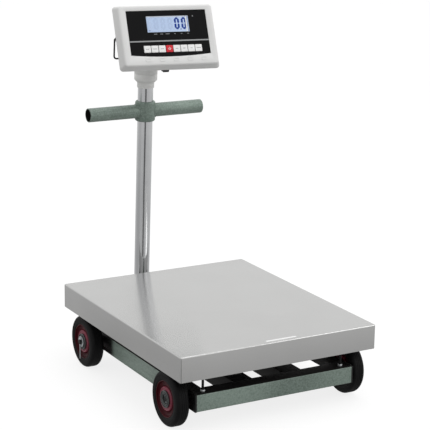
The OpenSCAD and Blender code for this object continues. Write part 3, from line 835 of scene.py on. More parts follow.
@dataclass
class Pan:
    """The folded stainless pan that goods stand on, and its blank label."""

    site: Site
    sheet: float = 1.5
    bend: float = 3.0
    corner: float = 3.5
    label_size: tuple[float, float] = (77.0, 7.5)
    label_place: tuple[float, float] = (5.5, 11.5)
    label_proud: float = 0.22

    def build(self) -> None:
        """Builds the pan and its label."""
        low, high = self.site.box("pan")
        self.site.fit(self.folded_sheet(low, high), STAINLESS, "pan")
        self.site.fit(self.label(low, high), VINYL, body="pan")

    def skin(self, size: Vector, top: float, inset: float) -> list[Loop]:
        """Loops of one side of the sheet, from the skirt's lower edge up over the bend.

        Args:
            size: The pan's size.
            top: Height of this side's flat top.
            inset: How far this side lies inside the pan's outer side.

        Returns:
            The loops, lowest first.
        """
        bend = self.bend - inset
        loops = [(0.0, top + inset - size.z), (0.0, top - bend)]
        loops += [
            (bend * (1 - math.cos(t)), top - bend * (1 - math.sin(t)))
            for t in (math.radians(15 * i) for i in range(1, 7))
        ]
        skin = []
        for cut, z in loops:
            less = inset + cut
            corner = max(self.corner - less, 0.3)
            skin.append(raised(rounded(size.x - 2 * less, size.y - 2 * less, corner), z))
        return skin

    def folded_sheet(self, low: Vector, high: Vector) -> Piece:
        """The sheet with its four skirts folded down round a small bend radius."""
        size = high - low
        inner = self.skin(size, high.z - self.sheet, self.sheet)
        outer = self.skin(size, high.z, 0.0)
        centre = (low + high) / 2
        place = Matrix.Translation((centre.x, centre.y, 0))
        return Form().loft([*reversed(inner), *outer], place).piece("pan_folded_sheet", angle=60.0)

    def label(self, low: Vector, high: Vector) -> Piece:
        """A blank label, stuck near the front edge."""
        x = (low.x + high.x) / 2 + self.label_place[0]
        place = Matrix.Translation((x, low.y + self.label_place[1], 0))
        form = Form().prism(rounded(*self.label_size, 1.0), high.z - 0.02, high.z + self.label_proud, place)
        return form.piece("pan_blank_label")


@dataclass
class BaseFrame:
    """The welded steel base: rails, side angles, centre beams, axle plates and stop screws."""

    site: Site
    rail_wall: float = 2.5
    rail_radius: float = 2.6
    beam_width: float = 50.0
    weld: float = 2.6
    rod_radius: float = 3.0
    nut_across: float = 10.0
    nut_height: float = 5.0

    def build(self) -> None:
        """Builds the base."""
        for node in ("front_rail", "rear_rail"):
            self.cross_rail(node)
        for node in ("left_side_rail", "right_side_rail"):
            piece = self.site.ease(node, RAIL_HAMMERED_SHADED_ENDS, 0.8)
            # The rails' upper and inner faces take the black: painted shade under the pan.
            paint(piece, POWDER_AND_PAINTED_SHADE, lambda centre, normal: normal.z > 0.6 or normal.x * centre.x < -1)
        self.beams()
        for node in ("axle_plates", "cell_base_plate"):
            self.site.ease(node, POWDER_AND_PAINTED_SHADE, 0.9)
        self.stop_screws()
        self.welds()

    def cross_rail(self, node: str) -> None:
        """One square rail across the base, green outside, with its upper and inner faces painted black as
        painted shade under the pan.
        """
        low, high = self.site.box(node)
        form = Form().tube(low, high, 0, self.rail_wall, self.rail_radius)
        piece = self.site.fit(form.piece(node + "_tube"), HAMMERED, node)
        inwards = 1 if node == "front_rail" else -1
        # Upper and inner faces take the black: painted shade under the pan.
        paint(piece, POWDER_AND_PAINTED_SHADE, lambda centre, normal: normal.z > 0.75 or normal.y * inwards > 0.75)

    def beams(self) -> None:
        """Two rectangular tubes that run from rail to rail under the load cell."""
        low, high = self.site.box("centre_beams")
        form = Form()
        for start in (low.x, high.x - self.beam_width):
            near, far = Vector((start, low.y, low.z)), Vector((start + self.beam_width, high.y, high.z))
            form.tube(near, far, 1, self.rail_wall, self.rail_radius)
        self.site.fit(form.piece("centre_beams_tube"), POWDER_AND_PAINTED_SHADE, "centre_beams")

    def stop_screws(self) -> None:
        """Threaded rods that limit the load frame's travel, with a lock nut each on the rail."""
        low, high = self.site.box("stop_screws")
        rail_top = self.site.box("front_rail")[1].z
        inset = self.nut_across / math.sqrt(3)
        rods, nuts = Form(), Form()
        for x in (low.x + inset, high.x - inset):
            for y in (low.y + self.nut_across / 2, high.y - self.nut_across / 2):
                place = Matrix.Translation((x, y, 0))
                rods.revolve(thread(self.rod_radius, low.z, high.z), place, False, 20)
                hex_part(nuts, self.nut_across, rail_top, rail_top + self.nut_height, place)
        self.site.fit(rods.piece("stop_screw_rods"), BLACK_OXIDE, "stop_screws")
        self.site.fit(nuts.piece("stop_screw_nuts", ease=0.3), ZINC, body="base")

    def welds(self) -> None:
        """Weld beads where the rails meet the side angles and the beams meet the rails."""
        form = Form()
        beam_low, beam_high = self.site.box("centre_beams")
        for node, inner in (("front_rail", 1), ("rear_rail", -1)):
            low, high = self.site.box(node)
            face = high.y if inner > 0 else low.y
            for x, root in ((low.x, beam_low.x), (high.x, beam_high.x)):
                for start, end in (
                    ((x, face, low.z + 5), (x, face, high.z - 3)),
                    ((x, low.y + 4, high.z), (x, high.y - 4, high.z)),
                    ((root, face, beam_low.z + 2), (root, face, beam_high.z - 2)),
                ):
                    form.bead([Vector(start), Vector(end)], self.weld)
        self.site.fit(form.piece("base_weld_beads", angle=80.0), POWDER_AND_PAINTED_SHADE, body="base")


def thread(radius: float, low: float, high: float) -> Outline:
    """Profile of a threaded rod with chamfered ends, its pitch drawn coarse enough to show.

    Args:
        radius: Outer radius.
        low: Height of the lower end.
        high: Height of the upper end.

    Returns:
        The profile, lower end first.
    """
    root, start, pitch = radius * THREAD_ROOT, low + 1, THREAD_PITCH
    profile = [(root * THREAD_END, low), (root, start)]
    for i in range(int((high - low - 2) / pitch)):
        profile += [(radius, start + (i + 0.4) * pitch), (radius, start + (i + 0.6) * pitch)]
        profile.append((root, start + (i + 1) * pitch))
    return [*profile, (root * THREAD_END, high)]


def hex_part(form: Form, across: float, low: float, high: float, place: Matrix) -> None:
    """Adds a hexagon nut or head with chamfered corners to a form.

    Args:
        form: The form.
        across: Width between flats.
        low: Height of its lower face.
        high: Height of its upper face.
        place: Where it stands.
    """
    chamfer = across * HEX_CHAMFER
    slim, full = regular(6, across * HEX_FACE), regular(6, across)
    heights = ((slim, low), (full, low + chamfer), (full, high - chamfer), (slim, high))
    form.loft([raised(outline, z) for outline, z in heights], place)


@dataclass
class LoadStack:
    """What carries the pan: load cell, spacers, bolts, the welded load frame and its pads."""

    site: Site
    tube_width: float = 30.0
    cross_y: float = 262.0
    long_x: float = 60.0
    weld: float = 2.2
    weld_foot: float = 34.0
    weld_head: float = 3.0
    pad_radius: float = 13.0

    def build(self) -> None:
        """Builds the stack."""
        self.cell()
        for node in ("fixed_spacer", "free_spacer"):
            self.site.ease(node, ALUMINIUM, 0.4)
        for node in ("fixed_cell_bolts", "free_cell_bolts"):
            self.site.ease(node, ZINC, 0.4)
        self.site.ease("load_frame", POWDER_AND_PAINTED_SHADE, 1.4)
        self.pads()
        self.welds()

    def cell(self) -> None:
        """Load cell, eased, on a mesh of its own."""
        piece = self.site.ease("load_cell", ALUMINIUM, 0.5)
        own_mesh(piece)

    def pads(self) -> None:
        """Soft pads with a turned-in rim that the pan rests on."""
        low, high = self.site.box("pan_pads")
        radius = self.pad_radius
        form = Form()
        for x in (low.x + radius, high.x - radius):
            for y in (low.y + radius, high.y - radius):
                profile = [
                    (radius - 0.6, low.z), *arc((radius - 0.8, low.z + 0.8), 0.8, -60, 0, 3),
                    *arc((radius - 0.8, high.z - 0.8), 0.8, 0, 90, 3), (5.0, high.z), (4.0, high.z - 1.2),
                ]
                form.revolve(profile, Matrix.Translation((x, y, 0)), False, 40)
        self.site.fit(form.piece("pan_rest_pads"), PAD, "pan_pads")

    def welds(self) -> None:
        """Weld beads where the long tubes meet the cross tubes."""
        low, high = self.site.box("load_frame")
        middle = (low.y + high.y) / 2
        form = Form()
        for end in SIDES:
            y = middle + end * (self.cross_y - self.tube_width / 2)
            for side in SIDES:
                for edge in SIDES:
                    x = side * self.long_x + edge * self.tube_width / 2
                    ends = [Vector((x, y, high.z - drop)) for drop in (self.weld_foot, self.weld_head)]
                    form.bead(ends, self.weld)
        self.site.fit(form.piece("load_frame_weld_beads", angle=80.0), POWDER_AND_PAINTED_SHADE, body="load_frame")


# ---- Wheels ----


class Corner(Enum):
    """The four wheels, with the side that each is on."""

    FRONT_LEFT = ("front_left", -1)
    FRONT_RIGHT = ("front_right", 1)
    REAR_LEFT = ("rear_left", -1)
    REAR_RIGHT = ("rear_right", 1)


@dataclass
class Wheel:
    """A solid-tyred wheel: tyre, pressed rim and turned hub, sized from its nodes."""

    site: Site
    corner: Corner
    shoulder: float = 9.0
    groove: float = 0.6
    rim_radius: float = 41.0
    ring_radius: float = 27.0
    hub_radius: float = 19.5
    bore: float = 6.05
    recess: float = 10.0
    recess_depth: float = 5.5
    half: float = field(init=False, default=0.0)
    outer: float = field(init=False, default=0.0)
    place: Matrix = field(init=False, default_factory=Matrix)

    def build(self) -> None:
        """Measures the tyre's node and builds the wheel."""
        name, side = self.corner.value
        low, high = self.site.box("tyre_" + name)
        centre = self.site.point(name + "_wheel_spin")
        self.half = (high.x - low.x) / 2
        self.outer = (high.z - low.z) / 2
        self.place = frame_of(centre, Vector((0, 1, 0)), Vector((side, 0, 0)))
        self.tyre("tyre_" + name)
        self.rim("rim_" + name)
        self.hub("hub_" + name)

    def tyre(self, node: str) -> None:
        """Tyre with round shoulders, three shallow tread grooves and a low bead beside the rim."""
        shoulder, tread = self.shoulder, self.outer - self.shoulder
        across = self.half - shoulder
        lip: Outline = [
            (self.rim_radius, self.half - 2.0), (self.rim_radius + 0.6, self.half - 1.2),
            (self.rim_radius + 2.2, self.half - 1.0), (self.rim_radius + 3.2, self.half - 0.2),
            (self.rim_radius + 4.0, self.half), (tread - 2.4, self.half),
            (tread - 2.0, self.half - 0.5), (tread - 1.0, self.half - 0.5), (tread - 0.6, self.half - 0.05),
        ]
        turn = [(tread + y, across + x) for y, x in arc((0.0, 0.0), shoulder, 84, 0, 14)]
        side = [*lip, *turn]
        for groove in (4.6, 0.0):
            side += [(self.outer, groove + 0.9), (self.outer - self.groove, groove + 0.5)]
            side += [(self.outer - self.groove, groove - 0.5), (self.outer, groove - 0.9)] if groove else []
        profile = [*side, *((radius, -out) for radius, out in reversed(side))]
        form = Form().revolve(profile, self.place, segments=96)
        self.site.fit(form.piece(node + "_moulded", angle=40.0), TYRE, node)

    def side_profile(self) -> Outline:
        """Outer side of the rim, from the hub out to the flange, as radius and distance outwards."""
        deep = self.half - 8
        top = self.half - 3
        ring = self.ring_radius
        return [
            (self.hub_radius, top - 1.2), (ring - 4.0, top - 1.2), (ring - 3.4, top - 0.4),
            *arc((ring - 1.6, top - 1.4), 1.4, 120, 20, 6), (ring + 0.6, deep + 2.2),
            (ring + 1.6, deep + 0.6), (ring + 3.4, deep), (self.rim_radius - 5.5, deep + 0.2),
            (self.rim_radius - 3.4, deep + 2.0), (self.rim_radius - 2.2, deep + 5.2),
            *arc((self.rim_radius - 0.6, deep + 5.8), 1.3, 170, 20, 6),
        ]

    def rim(self, node: str) -> None:
        """Pressed rim: a dished web between a raised ring and a rolled flange, on both sides."""
        side = self.side_profile()
        profile = [*side, *((radius, -across) for radius, across in reversed(side))]
        form = Form().revolve(profile, self.place, segments=96)
        piece = self.site.fit(form.piece(node + "_pressed", angle=50.0), RIM_RED, node)
        centre, outwards = self.place.translation, self.place.to_3x3().col[2]

        def on_ring(point: Vector, _normal: Vector) -> bool:
            """Whether a face is on the raised ring."""
            offset = point - centre
            across = offset.dot(outwards)
            radius = (offset - across * outwards).length
            return abs(across) > self.half - 5.6 and 20.4 < radius < self.ring_radius + 0.8

        # The raised ring takes the lighter red: a painted highlight.
        paint(piece, RING_RED_PAINTED_HIGHLIGHT, on_ring)

    def hub(self, node: str) -> None:
        """Turned hub with a stepped outer face, a bearing groove and a recess round the axle."""
        out = self.half
        floor = out - self.recess_depth
        profile = [
            (self.bore, -out + 0.6), (self.bore + 0.6, -out), (self.hub_radius - 0.8, -out),
            (self.hub_radius, -out + 0.8), (self.hub_radius, out - 0.8), (self.hub_radius - 0.8, out),
            (17.6, out), (17.2, out - 1.6), (15.2, out - 1.6), (14.8, out - 0.1), (13.2, out - 0.1),
            (12.8, out - 1.4), (11.6, out - 1.4), (11.2, out - 0.1), (self.recess + 0.5, out - 0.1),
            (self.recess, out - 0.8), (self.recess, floor + 0.4), (self.recess - 0.4, floor),
            (self.bore + 0.3, floor), (self.bore, floor - 0.3),
        ]
        form = Form().revolve(profile, self.place, segments=72)
        self.site.fit(form.piece(node + "_turned", angle=30.0), HUB_STEEL, node)


@dataclass
class Axles:
    """Stub axles with centre-drilled ends, their washers and the split pins."""

    site: Site
    drilling: float = 4.2

    def build(self) -> None:
        """Dresses the axles and what holds the wheels on them."""
        self.site.ease("axles", BLACK_OXIDE, 0.5)
        self.site.ease("axle_washers", ZINC, 0.3)
        self.site.ease("split_pins", ZINC, 0.0, 40.0)
        self.centre_drillings()

    def centre_drillings(self) -> None:
        """Dark countersinks in the ends of the rear axles."""
        low, high = self.site.box("axles")
        lip = self.drilling
        profile = [(lip, -0.6), (lip, 0.05), (lip - 0.8, 0.05), (lip - 3.0, -0.2)]
        rear = self.site.point("rear_left_wheel_spin")
        form = Form()
        for side, end in ((-1, low.x), (1, high.x)):
            place = frame_of(Vector((end, rear.y, rear.z)), Vector((0, 1, 0)), Vector((side, 0, 0)))
            form.revolve(profile, place, False, 32)
        self.site.fit(form.piece("axle_centre_drillings"), BLACK_OXIDE, body="base")


# ---- Post and handle ----


@dataclass
class Mast:
    """The post with its bracket, push handle and cap. Heights are from the pan's height, along the post."""

    site: Site
    cap_top: float = 520.0
    post_radius: float = 19.0
    post_wall: float = 1.5
    post_low: float = -135.0
    post_high: float = 506.0
    handle_z: float = 397.0
    hub_radius: float = 25.0
    hub_height: float = 50.0
    hub_ease: float = 4.5
    weld: float = 2.0
    tube_radius: float = 17.0
    tube_wall: float = 2.0
    tube_end: float = 155.0
    cap_radius: float = 28.5
    cap_height: float = 64.0
    cap_parting: float = 34.5
    socket_wall: float = 4.0
    bracket_plate: float = 6.0
    place: Matrix = field(default_factory=Matrix)

    def build(self) -> None:
        """Builds the mast."""
        line = self.site.axis("indicator_swivel")
        foot = self.site.point("indicator_swivel") - self.cap_top * line
        self.place = frame_of(foot, Vector((1, 0, 0)), line)
        self.site.ease("post_bracket", HAMMERED, 1.0)
        self.site.ease("bracket_bolts", ZINC, 0.4)
        self.post()
        self.handle()
        self.cap()
        self.site.ease("swivel_screw", ZINC, 0.4)
        self.socket_welds()

    def post(self) -> None:
        """Chromed tube with lightly rounded ends."""
        inner, outer = self.post_radius - self.post_wall, self.post_radius
        profile = [
            (inner, self.post_low), (outer - 0.4, self.post_low), (outer, self.post_low + 0.4),
            (outer, self.post_high - 0.4), (outer - 0.4, self.post_high), (inner, self.post_high),
        ]
        form = Form().revolve(profile, self.place, segments=96)
        self.site.fit(form.piece("post_chromed_tube", angle=30.0), CHROME, "post")

    def handle(self) -> None:
        """Sleeve with two open tubes welded to it, and the painted weld fillets."""
        low, high = self.handle_z - self.hub_height / 2, self.handle_z + self.hub_height / 2
        ease = self.hub_ease
        profile = [
            (self.post_radius, low + 0.6), (self.post_radius + 0.6, low),
            *arc((self.hub_radius - ease, low + ease), ease, -90, 0, 6),
            *arc((self.hub_radius - ease, high - ease), ease, 0, 90, 6),
            (self.post_radius + 0.6, high), (self.post_radius, high - 0.6),
        ]
        hub = Form().revolve(profile, self.place, segments=96)
        self.site.fit(hub.piece("handle_hub_sleeve", angle=50.0), HAMMERED, "handle_hub")

        outer, inner = self.tube_radius, self.tube_radius - self.tube_wall
        tube = [
            (inner, 17.0), (outer, 17.0), (outer, self.tube_end - 0.7),
            *arc((outer - 0.7, self.tube_end - 0.7), 0.7, 0, 90, 3),
            *arc((inner + 0.6, self.tube_end - 0.6), 0.6, 90, 180, 3),
        ]
        bars, beads = Form(), Form()
        for side in SIDES:
            out = self.place @ frame_of(
                Vector((0, 0, self.handle_z)), Vector((0, 0, 1)), Vector((side, 0, 0))
            )
            bars.revolve(tube, out, segments=72)
            root = []
            for i in range(60):
                turn = 2 * math.pi * i / 60
                y, z = outer * math.cos(turn), outer * math.sin(turn)
                x = math.sqrt(self.hub_radius**2 - y**2)
                root.append(self.place @ Vector((side * (x + 0.2), y, self.handle_z + z)))
            beads.bead(root, self.weld, closed=True)
        bar = self.site.fit(bars.piece("handle_bar_tubes", angle=50.0), HAMMERED, "handle_bar")
        centre = self.place @ Vector((0, 0, self.handle_z))

        def inside(point: Vector, normal: Vector) -> bool:
            """Whether a face is on the bore of a tube."""
            offset = point - centre
            return (offset - offset.x * Vector((1, 0, 0))).dot(normal) < 0 and abs(normal.x) < 0.5

        # The tubes' bores take the black: painted shade inside the open tubes.
        paint(bar, POWDER_AND_PAINTED_SHADE, inside)
        self.site.fit(beads.piece("handle_weld_beads", angle=80.0), HAMMERED, body="base")

    def cap(self) -> None:
        """Moulded cap with a stepped neck, a parting line and a soft upper edge."""
        foot = self.cap_top - self.cap_height
        radius, parting = self.cap_radius, foot + self.cap_parting
        profile = [
            (self.post_radius, foot + 0.5), (self.post_radius + 0.5, foot), (self.post_radius + 1.4, foot),
            *arc((self.post_radius + 1.4, foot + 0.6), 0.6, -90, 0, 3), (self.post_radius + 2.0, foot + 11.6),
            *arc((self.post_radius + 3.6, foot + 11.8), 1.6, 180, 125, 4),
            *arc((radius - 2.2, foot + 20.8), 2.2, -50, 0, 5),
            (radius, parting - 0.5), (radius - 0.25, parting - 0.2),
            (radius - 0.25, parting + 0.2), (radius, parting + 0.5),
            *arc((radius - 1.5, self.cap_top - 1.5), 1.5, 0, 90, 5),
            (4.0, self.cap_top), (4.0, self.cap_top - 13.0), (self.post_radius, self.cap_top - 14.0),
        ]
        form = Form().revolve(profile, self.place, segments=96)
        # The cap's grey is painted lighter, to make up for the housing's shade on it.
        self.site.fit(form.piece("post_cap_moulded", angle=40.0), CAP_ABS_PAINTED_LIGHT, "post_cap")

    def socket_welds(self) -> None:
        """Bead round the post socket's foot on the bracket plate."""
        radius = self.post_radius + self.socket_wall
        plate = self.site.box("post_bracket")[0].z + self.bracket_plate
        form = Form()
        root = []
        down = self.place.to_3x3().col[2]
        for i in range(60):
            turn = 2 * math.pi * i / 60
            point = self.place @ Vector((radius * math.cos(turn), radius * math.sin(turn), -60.0))
            root.append(point - down * ((point.z - plate) / down.z))
        form.bead(root, self.weld + 0.2, closed=True)
        self.site.fit(form.piece("post_socket_weld", angle=80.0), HAMMERED, body="base")


# ---- Indicator ----


@dataclass
class Indicator:
    """The tilting weight indicator, built on its face: x right, y up the face, z outwards."""

    site: Site
    head_offset: float = 15.0
    tilt_v: float = -52.0
    tilt_w: float = 82.0
    face: tuple[float, float] = (236.0, 150.0)
    rim: tuple[float, float] = (250.0, 160.0)
    front_depth: float = 22.0
    wall: float = 2.5
    corner: float = 8.0
    panel: tuple[float, float] = (199.0, 109.0)
    panel_top: float = 61.0
    panel_bow: float = 5.0
    proud: float = 0.2
    divider: tuple[float, float] = (77.2, 74.0)
    legend_drop: float = 58.4
    legends: tuple[tuple[float, float], ...] = (
        (15.0, 8.0), (30.5, 7.0), (44.0, 10.0), (65.5, 3.4), (82.0, 4.2), (98.0, 4.6)
    )
    lamp: tuple[float, float] = (165.5, 15.5)
    dish: tuple[float, float] = (13.0, 8.4)
    dish_pitch: float = 35.0
    dish_start: float = -59.0
    window: tuple[float, float] = (106.0, 40.4)
    window_centre: tuple[float, float] = (1.5, 27.4)
    glass: float = -1.2
    digit: tuple[float, float] = (13.0, 30.0)
    digit_drop: float = 47.5
    digit_starts: tuple[float, ...] = (35.5, 18.0, 0.5, -17.0, -34.5)
    digits_on: int = 2
    stroke: float = 5.0
    ghost_stroke: float = 2.6
    key_size: float = 17.0
    key_pitch: float = 18.3
    key_row: tuple[float, float] = (6.3, -34.2)
    key_count: int = 8
    red_key: int = 4
    stand_half: float = 119.0
    stand_arm: float = 48.0
    stand_open: float = 30.0
    wire_radius: float = 2.0
    place: Matrix = field(init=False, default_factory=Matrix)

    def build(self) -> None:
        """Builds the indicator."""
        across = self.site.axis("clamp_knob_turn")
        outwards = -self.site.axis("key_1_press")
        up = outwards.cross(across)
        hinge = self.site.point("indicator_tilt")
        centre = hinge + self.head_offset * across - self.tilt_v * up + self.tilt_w * outwards
        self.place = frame_of(centre, across, outwards)
        self.mounting()
        self.front_shell()
        self.rear_shell()
        self.insides()
        self.panel_film()
        self.display()
        self.keys()
        self.stand()

    def mounting(self) -> None:
        """Tilt bracket, hinge bolt and clamp knob."""
        self.site.ease("tilt_bracket", POWDER_AND_PAINTED_SHADE, 0.7)
        self.site.ease("tilt_bolt", ZINC, 0.4)
        self.site.ease("tilt_knob", NYLON, 1.0, 28.0)

    def ring(self, width: float, height: float, radius: float, z: float) -> Loop:
        """A loop of the housing's rounded outline."""
        return raised(rounded(width, height, max(radius, 0.5)), z)

    def panel_loop(self, grow: float, z: float) -> Loop:
        """A loop of the front panel's outline, with its bowed lower edge, grown or shrunk."""
        width, height = self.panel
        shift = self.panel_top - height / 2
        return raised(
            rounded(width + 2 * grow, height + 2 * grow, max(grow, 0.0) + 0.8, self.panel_bow, shift), z
        )

    def front_shell(self) -> None:
        """Front half of the housing, with soft shoulders and a recess that takes the panel."""
        rim_w, rim_h = self.rim
        face_w, face_h = self.face
        wall, corner, seam = self.wall, self.corner, -self.front_depth
        loops = [
            self.ring(rim_w - 2 * wall, rim_h - 2 * wall, corner - wall, seam + 0.3),
            self.ring(rim_w - 0.8, rim_h - 0.8, corner, seam + 0.3),
            self.ring(rim_w - 0.1, rim_h - 0.1, corner, seam + 1.0),
            self.ring(face_w + 0.9, face_h - 0.3, corner, -4.4),
            self.ring(face_w + 0.2, face_h - 0.8, corner, -3.2),
            self.ring(face_w - 1.0, face_h - 1.8, corner - 0.3, -2.2),
            self.ring(face_w - 2.8, face_h - 3.4, corner - 0.9, -1.3),
            self.ring(face_w - 5.0, face_h - 5.0, corner - 1.8, -0.6),
            self.ring(face_w - 7.6, face_h - 7.6, corner - 2.8, -0.15),
            self.ring(face_w - 10.4, face_h - 10.4, corner - 4, 0.0),
            self.panel_loop(0.8, 0.0),
            self.panel_loop(0.35, -0.25),
            self.panel_loop(0.35, -1.0),
            self.panel_loop(-4.0, -1.0),
            self.panel_loop(-4.0, -3.4),
            self.ring(face_w - 16.0, face_h - 14.0, corner - 5, -3.4),
            self.ring(face_w - 2 * wall, face_h - 2 * wall, corner - wall, -6.5),
        ]
        piece = Form().loft(loops, self.place, ring=True).piece("front_shell_moulded", angle=30.0)
        self.site.fit(piece, ABS, "front_shell")

    def rear_shell(self) -> None:
        """Rear half of the housing, with its battery hole, hinge lugs and stand bosses."""
        self.site.ease("rear_shell", ABS, 0.8)

    def insides(self) -> None:
        """Board, battery, battery door, screws and glands."""
        self.site.ease("main_board", BOARD, 0.2)
        self.site.ease("battery", BATTERY_CASE, 1.5)
        self.site.ease("battery_door", ABS, 0.6)
        self.site.ease("housing_screws", ZINC, 0.3)
        self.site.ease("cable_glands", NYLON, 0.4)

    def panel_film(self) -> None:
        """Printed overlay with its divider line, legends and lamp, none of them lettering."""
        self.site.ease("panel_overlay", PANEL_FILM, 0.0)
        left, top = -self.panel[0] / 2, self.panel_top
        on = self.proud
        low, high = (top - drop for drop in self.divider)
        line = Form().prism(
            [(left, low), (-left, low), (-left, high), (left, high)], on - 0.05, on + 0.06, self.place
        )
        self.site.fit(line.piece("panel_divider_line"), INK_GREY, body="head")

        marks = Form()
        window_left = self.window_centre[0] - self.window[0] / 2
        for start, width in self.legends:
            self.bar(marks, window_left + start + width / 2, top - self.legend_drop, width, 1.5, on)
        self.site.fit(marks.piece("panel_legend_marks"), INK_DIM, body="head")

        place = self.place @ Matrix.Translation((left + self.lamp[0], top - self.lamp[1], 0))
        lens = [(1.7, on), (1.7, on + 0.15), (1.3, on + 0.3), (0.9, on + 0.2)]
        lamp = Form().revolve(lens, place, False, 32)
        self.site.fit(lamp.piece("panel_charge_lamp"), INK_DIM, body="head")

        dishes = Form()
        width, height = self.dish
        y = top - self.panel[1] - self.panel_bow - 7.5
        for i in range(5):
            loops = [
                raised(rounded(width - cut, height - cut, 2.4 - cut * 0.3, shift=y), z)
                for cut, z in ((0.0, -0.1), (0.0, 0.55), (0.5, 0.8), (1.0, 0.78), (6.6, 0.02))
            ]
            x = self.dish_start + self.dish_pitch * i
            dishes.loft(loops, self.place @ Matrix.Translation((x, 0, 0)))
        self.site.fit(dishes.piece("housing_raised_marks"), ABS, body="head")

    def bar(self, form: Form, x: float, y: float, width: float, height: float, z: float) -> None:
        """Adds a printed bar to a form, a little proud of the surface at z."""
        outline = rounded(width, height, min(width, height) * 0.3, shift=y, steps=3)
        form.prism(outline, z - 0.03, z + 0.05, self.place @ Matrix.Translation((x, 0, 0)))

    def display(self) -> None:
        """Display glass with its digits, frame and clear window."""
        self.site.ease("lcd_module", LCD, 0.2)
        self.site.ease("lcd_window", WINDOW, 0.0)
        glass = self.glass
        x, y = self.window_centre
        width, height = self.window
        right, low, high = x + width / 2, y - height / 2, y + height / 2

        trim = Form()
        for low_x, low_y, high_x in (
            (right - 7.6, low + 0.5, right - 4.2),
            (x - width / 2 + 0.5, high - 2.2, right - 0.5),
        ):
            box = [(low_x, low_y), (high_x, low_y), (high_x, high - 0.5), (low_x, high - 0.5)]
            trim.prism(box, glass - 0.05, glass + 0.25, self.place)
        self.site.fit(trim.piece("lcd_white_frame"), LCD_FRAME, body="head")

        on, off = Form(), Form()
        foot = self.panel_top - self.digit_drop
        digit_width, digit_height = self.digit
        for index, start in enumerate(self.digit_starts):
            shown = index < self.digits_on
            self.figure(on if shown else off, start, foot, middle=not shown)
        inset = (digit_width - 6.2) / 2
        for start in self.digit_starts[:self.digits_on]:
            self.segment(
                off, start + inset, foot + digit_height / 2, digit_width - 2 * inset, self.ghost_stroke, 0
            )
        point = self.place @ Matrix.Translation((33.2, foot + 0.6, 0))
        on.prism(regular(12, 2.9), glass - 0.05, glass + 0.12, point)
        self.bar(on, 54.0 - self.panel[0] / 2, low + 4.5, 3.6, 1.4, glass + 0.05)
        start, end = right - 3.4, right - 2.7
        edge = [(start, low + 1), (end, low + 1), (end, high - 1), (start, high - 1)]
        on.prism(edge, glass - 0.05, glass + 0.1, self.place)
        self.site.fit(on.piece("lcd_digits_shown"), LCD_ON, body="head")
        self.site.fit(off.piece("lcd_digits_resting"), LCD_OFF, body="head")

    def segment(self, form: Form, x: float, y: float, length: float, width: float, turn: float) -> None:
        """Adds one six-sided display segment, from a point, at an angle in degrees."""
        half = width / 2
        outline = [
            (0.2, 0), (half, -half), (length - half, -half),
            (length - 0.2, 0), (length - half, half), (half, half),
        ]
        place = self.place @ Matrix.Translation((x, y, 0)) @ Matrix.Rotation(math.radians(turn), 4, "Z")
        form.prism(outline, self.glass - 0.05, self.glass + 0.12, place)

    def figure(self, form: Form, x: float, y: float, middle: bool) -> None:
        """Adds a seven-segment figure: a nought, or an eight with its middle segment.

        Args:
            form: The form that takes the segments.
            x: Left edge of the figure.
            y: Foot of the figure.
            middle: Adds the middle segment.
        """
        width, height = self.digit
        stroke, half = self.stroke, self.stroke / 2
        rows = (half, height / 2, height - half) if middle else (half, height - half)
        for row in rows:
            self.segment(form, x + half, y + row, width - stroke, stroke, 0)
        for column in (half, width - half):
            for row in (half, height / 2):
                self.segment(form, x + column, y + row, height / 2 - half, stroke, 90)

    def keys(self) -> None:
        """Eight keys in a row, each with a printed mark, the fourth red with a power mark."""
        x0, y = self.key_row
        size, top = self.key_size, self.proud + 1.0
        loops = [
            raised(rounded(size - cut, size - cut, corner), top - drop)
            for cut, corner, drop in (
                (0.0, 1.2, 3.0), (0.0, 1.2, 0.7), (0.4, 1.2, 0.3), (1.4, 1.0, 0.06), (3.4, 0.8, 0.0)
            )
        ]
        for index in range(1, self.key_count + 1):
            x = x0 + (index - (self.key_count + 1) / 2) * self.key_pitch
            place = self.place @ Matrix.Translation((x, y, 0))
            red = index == self.red_key
            cap = Form().loft(loops, place).piece(f"key_cap_{index}", angle=50.0)
            self.site.fit(cap, KEY_RED if red else KEY_WHITE, f"key_{index}")
            mark = self.power_mark(place, top) if red else self.plain_mark(index, place, top)
            ink = INK_WHITE if red else INK_GREY
            self.site.fit(mark.piece(f"key_mark_{index}"), ink, body=f"key_{index}")

    def power_mark(self, place: Matrix, top: float) -> Form:
        """A broken ring with a stroke in its gap."""
        form, line = Form(), 0.55
        ring = raised(arc((0.0, 0.0), 2.6, 130, 410, 24), top)
        for path in (ring, [Vector((0, 0.4, top)), Vector((0, 3.8, top))]):
            form.sweep([place @ point for point in path], [line] * len(path), sides=8)
        return form

    def plain_mark(self, index: int, place: Matrix, top: float) -> Form:
        """A short row of printed bars, a little different on each key."""
        form = Form()
        gap = 0.6
        rows = (
            (3.0, 3.4), (2.6, 3.0, 2.6), (3.2, 4.0), (),
            (3.4, 2.6), (2.2, 3.2), (1.8, 2.4), (2.8, 3.0, 3.4),
        )
        row = rows[index - 1]
        start = -(sum(row) + gap * (len(row) - 1)) / 2
        for width in row:
            middle = place @ Matrix.Translation((start + width / 2, 0, 0))
            form.prism(rounded(width, 1.7, 0.4, steps=3), top - 0.02, top + 0.04, middle)
            start += width + gap
        return form

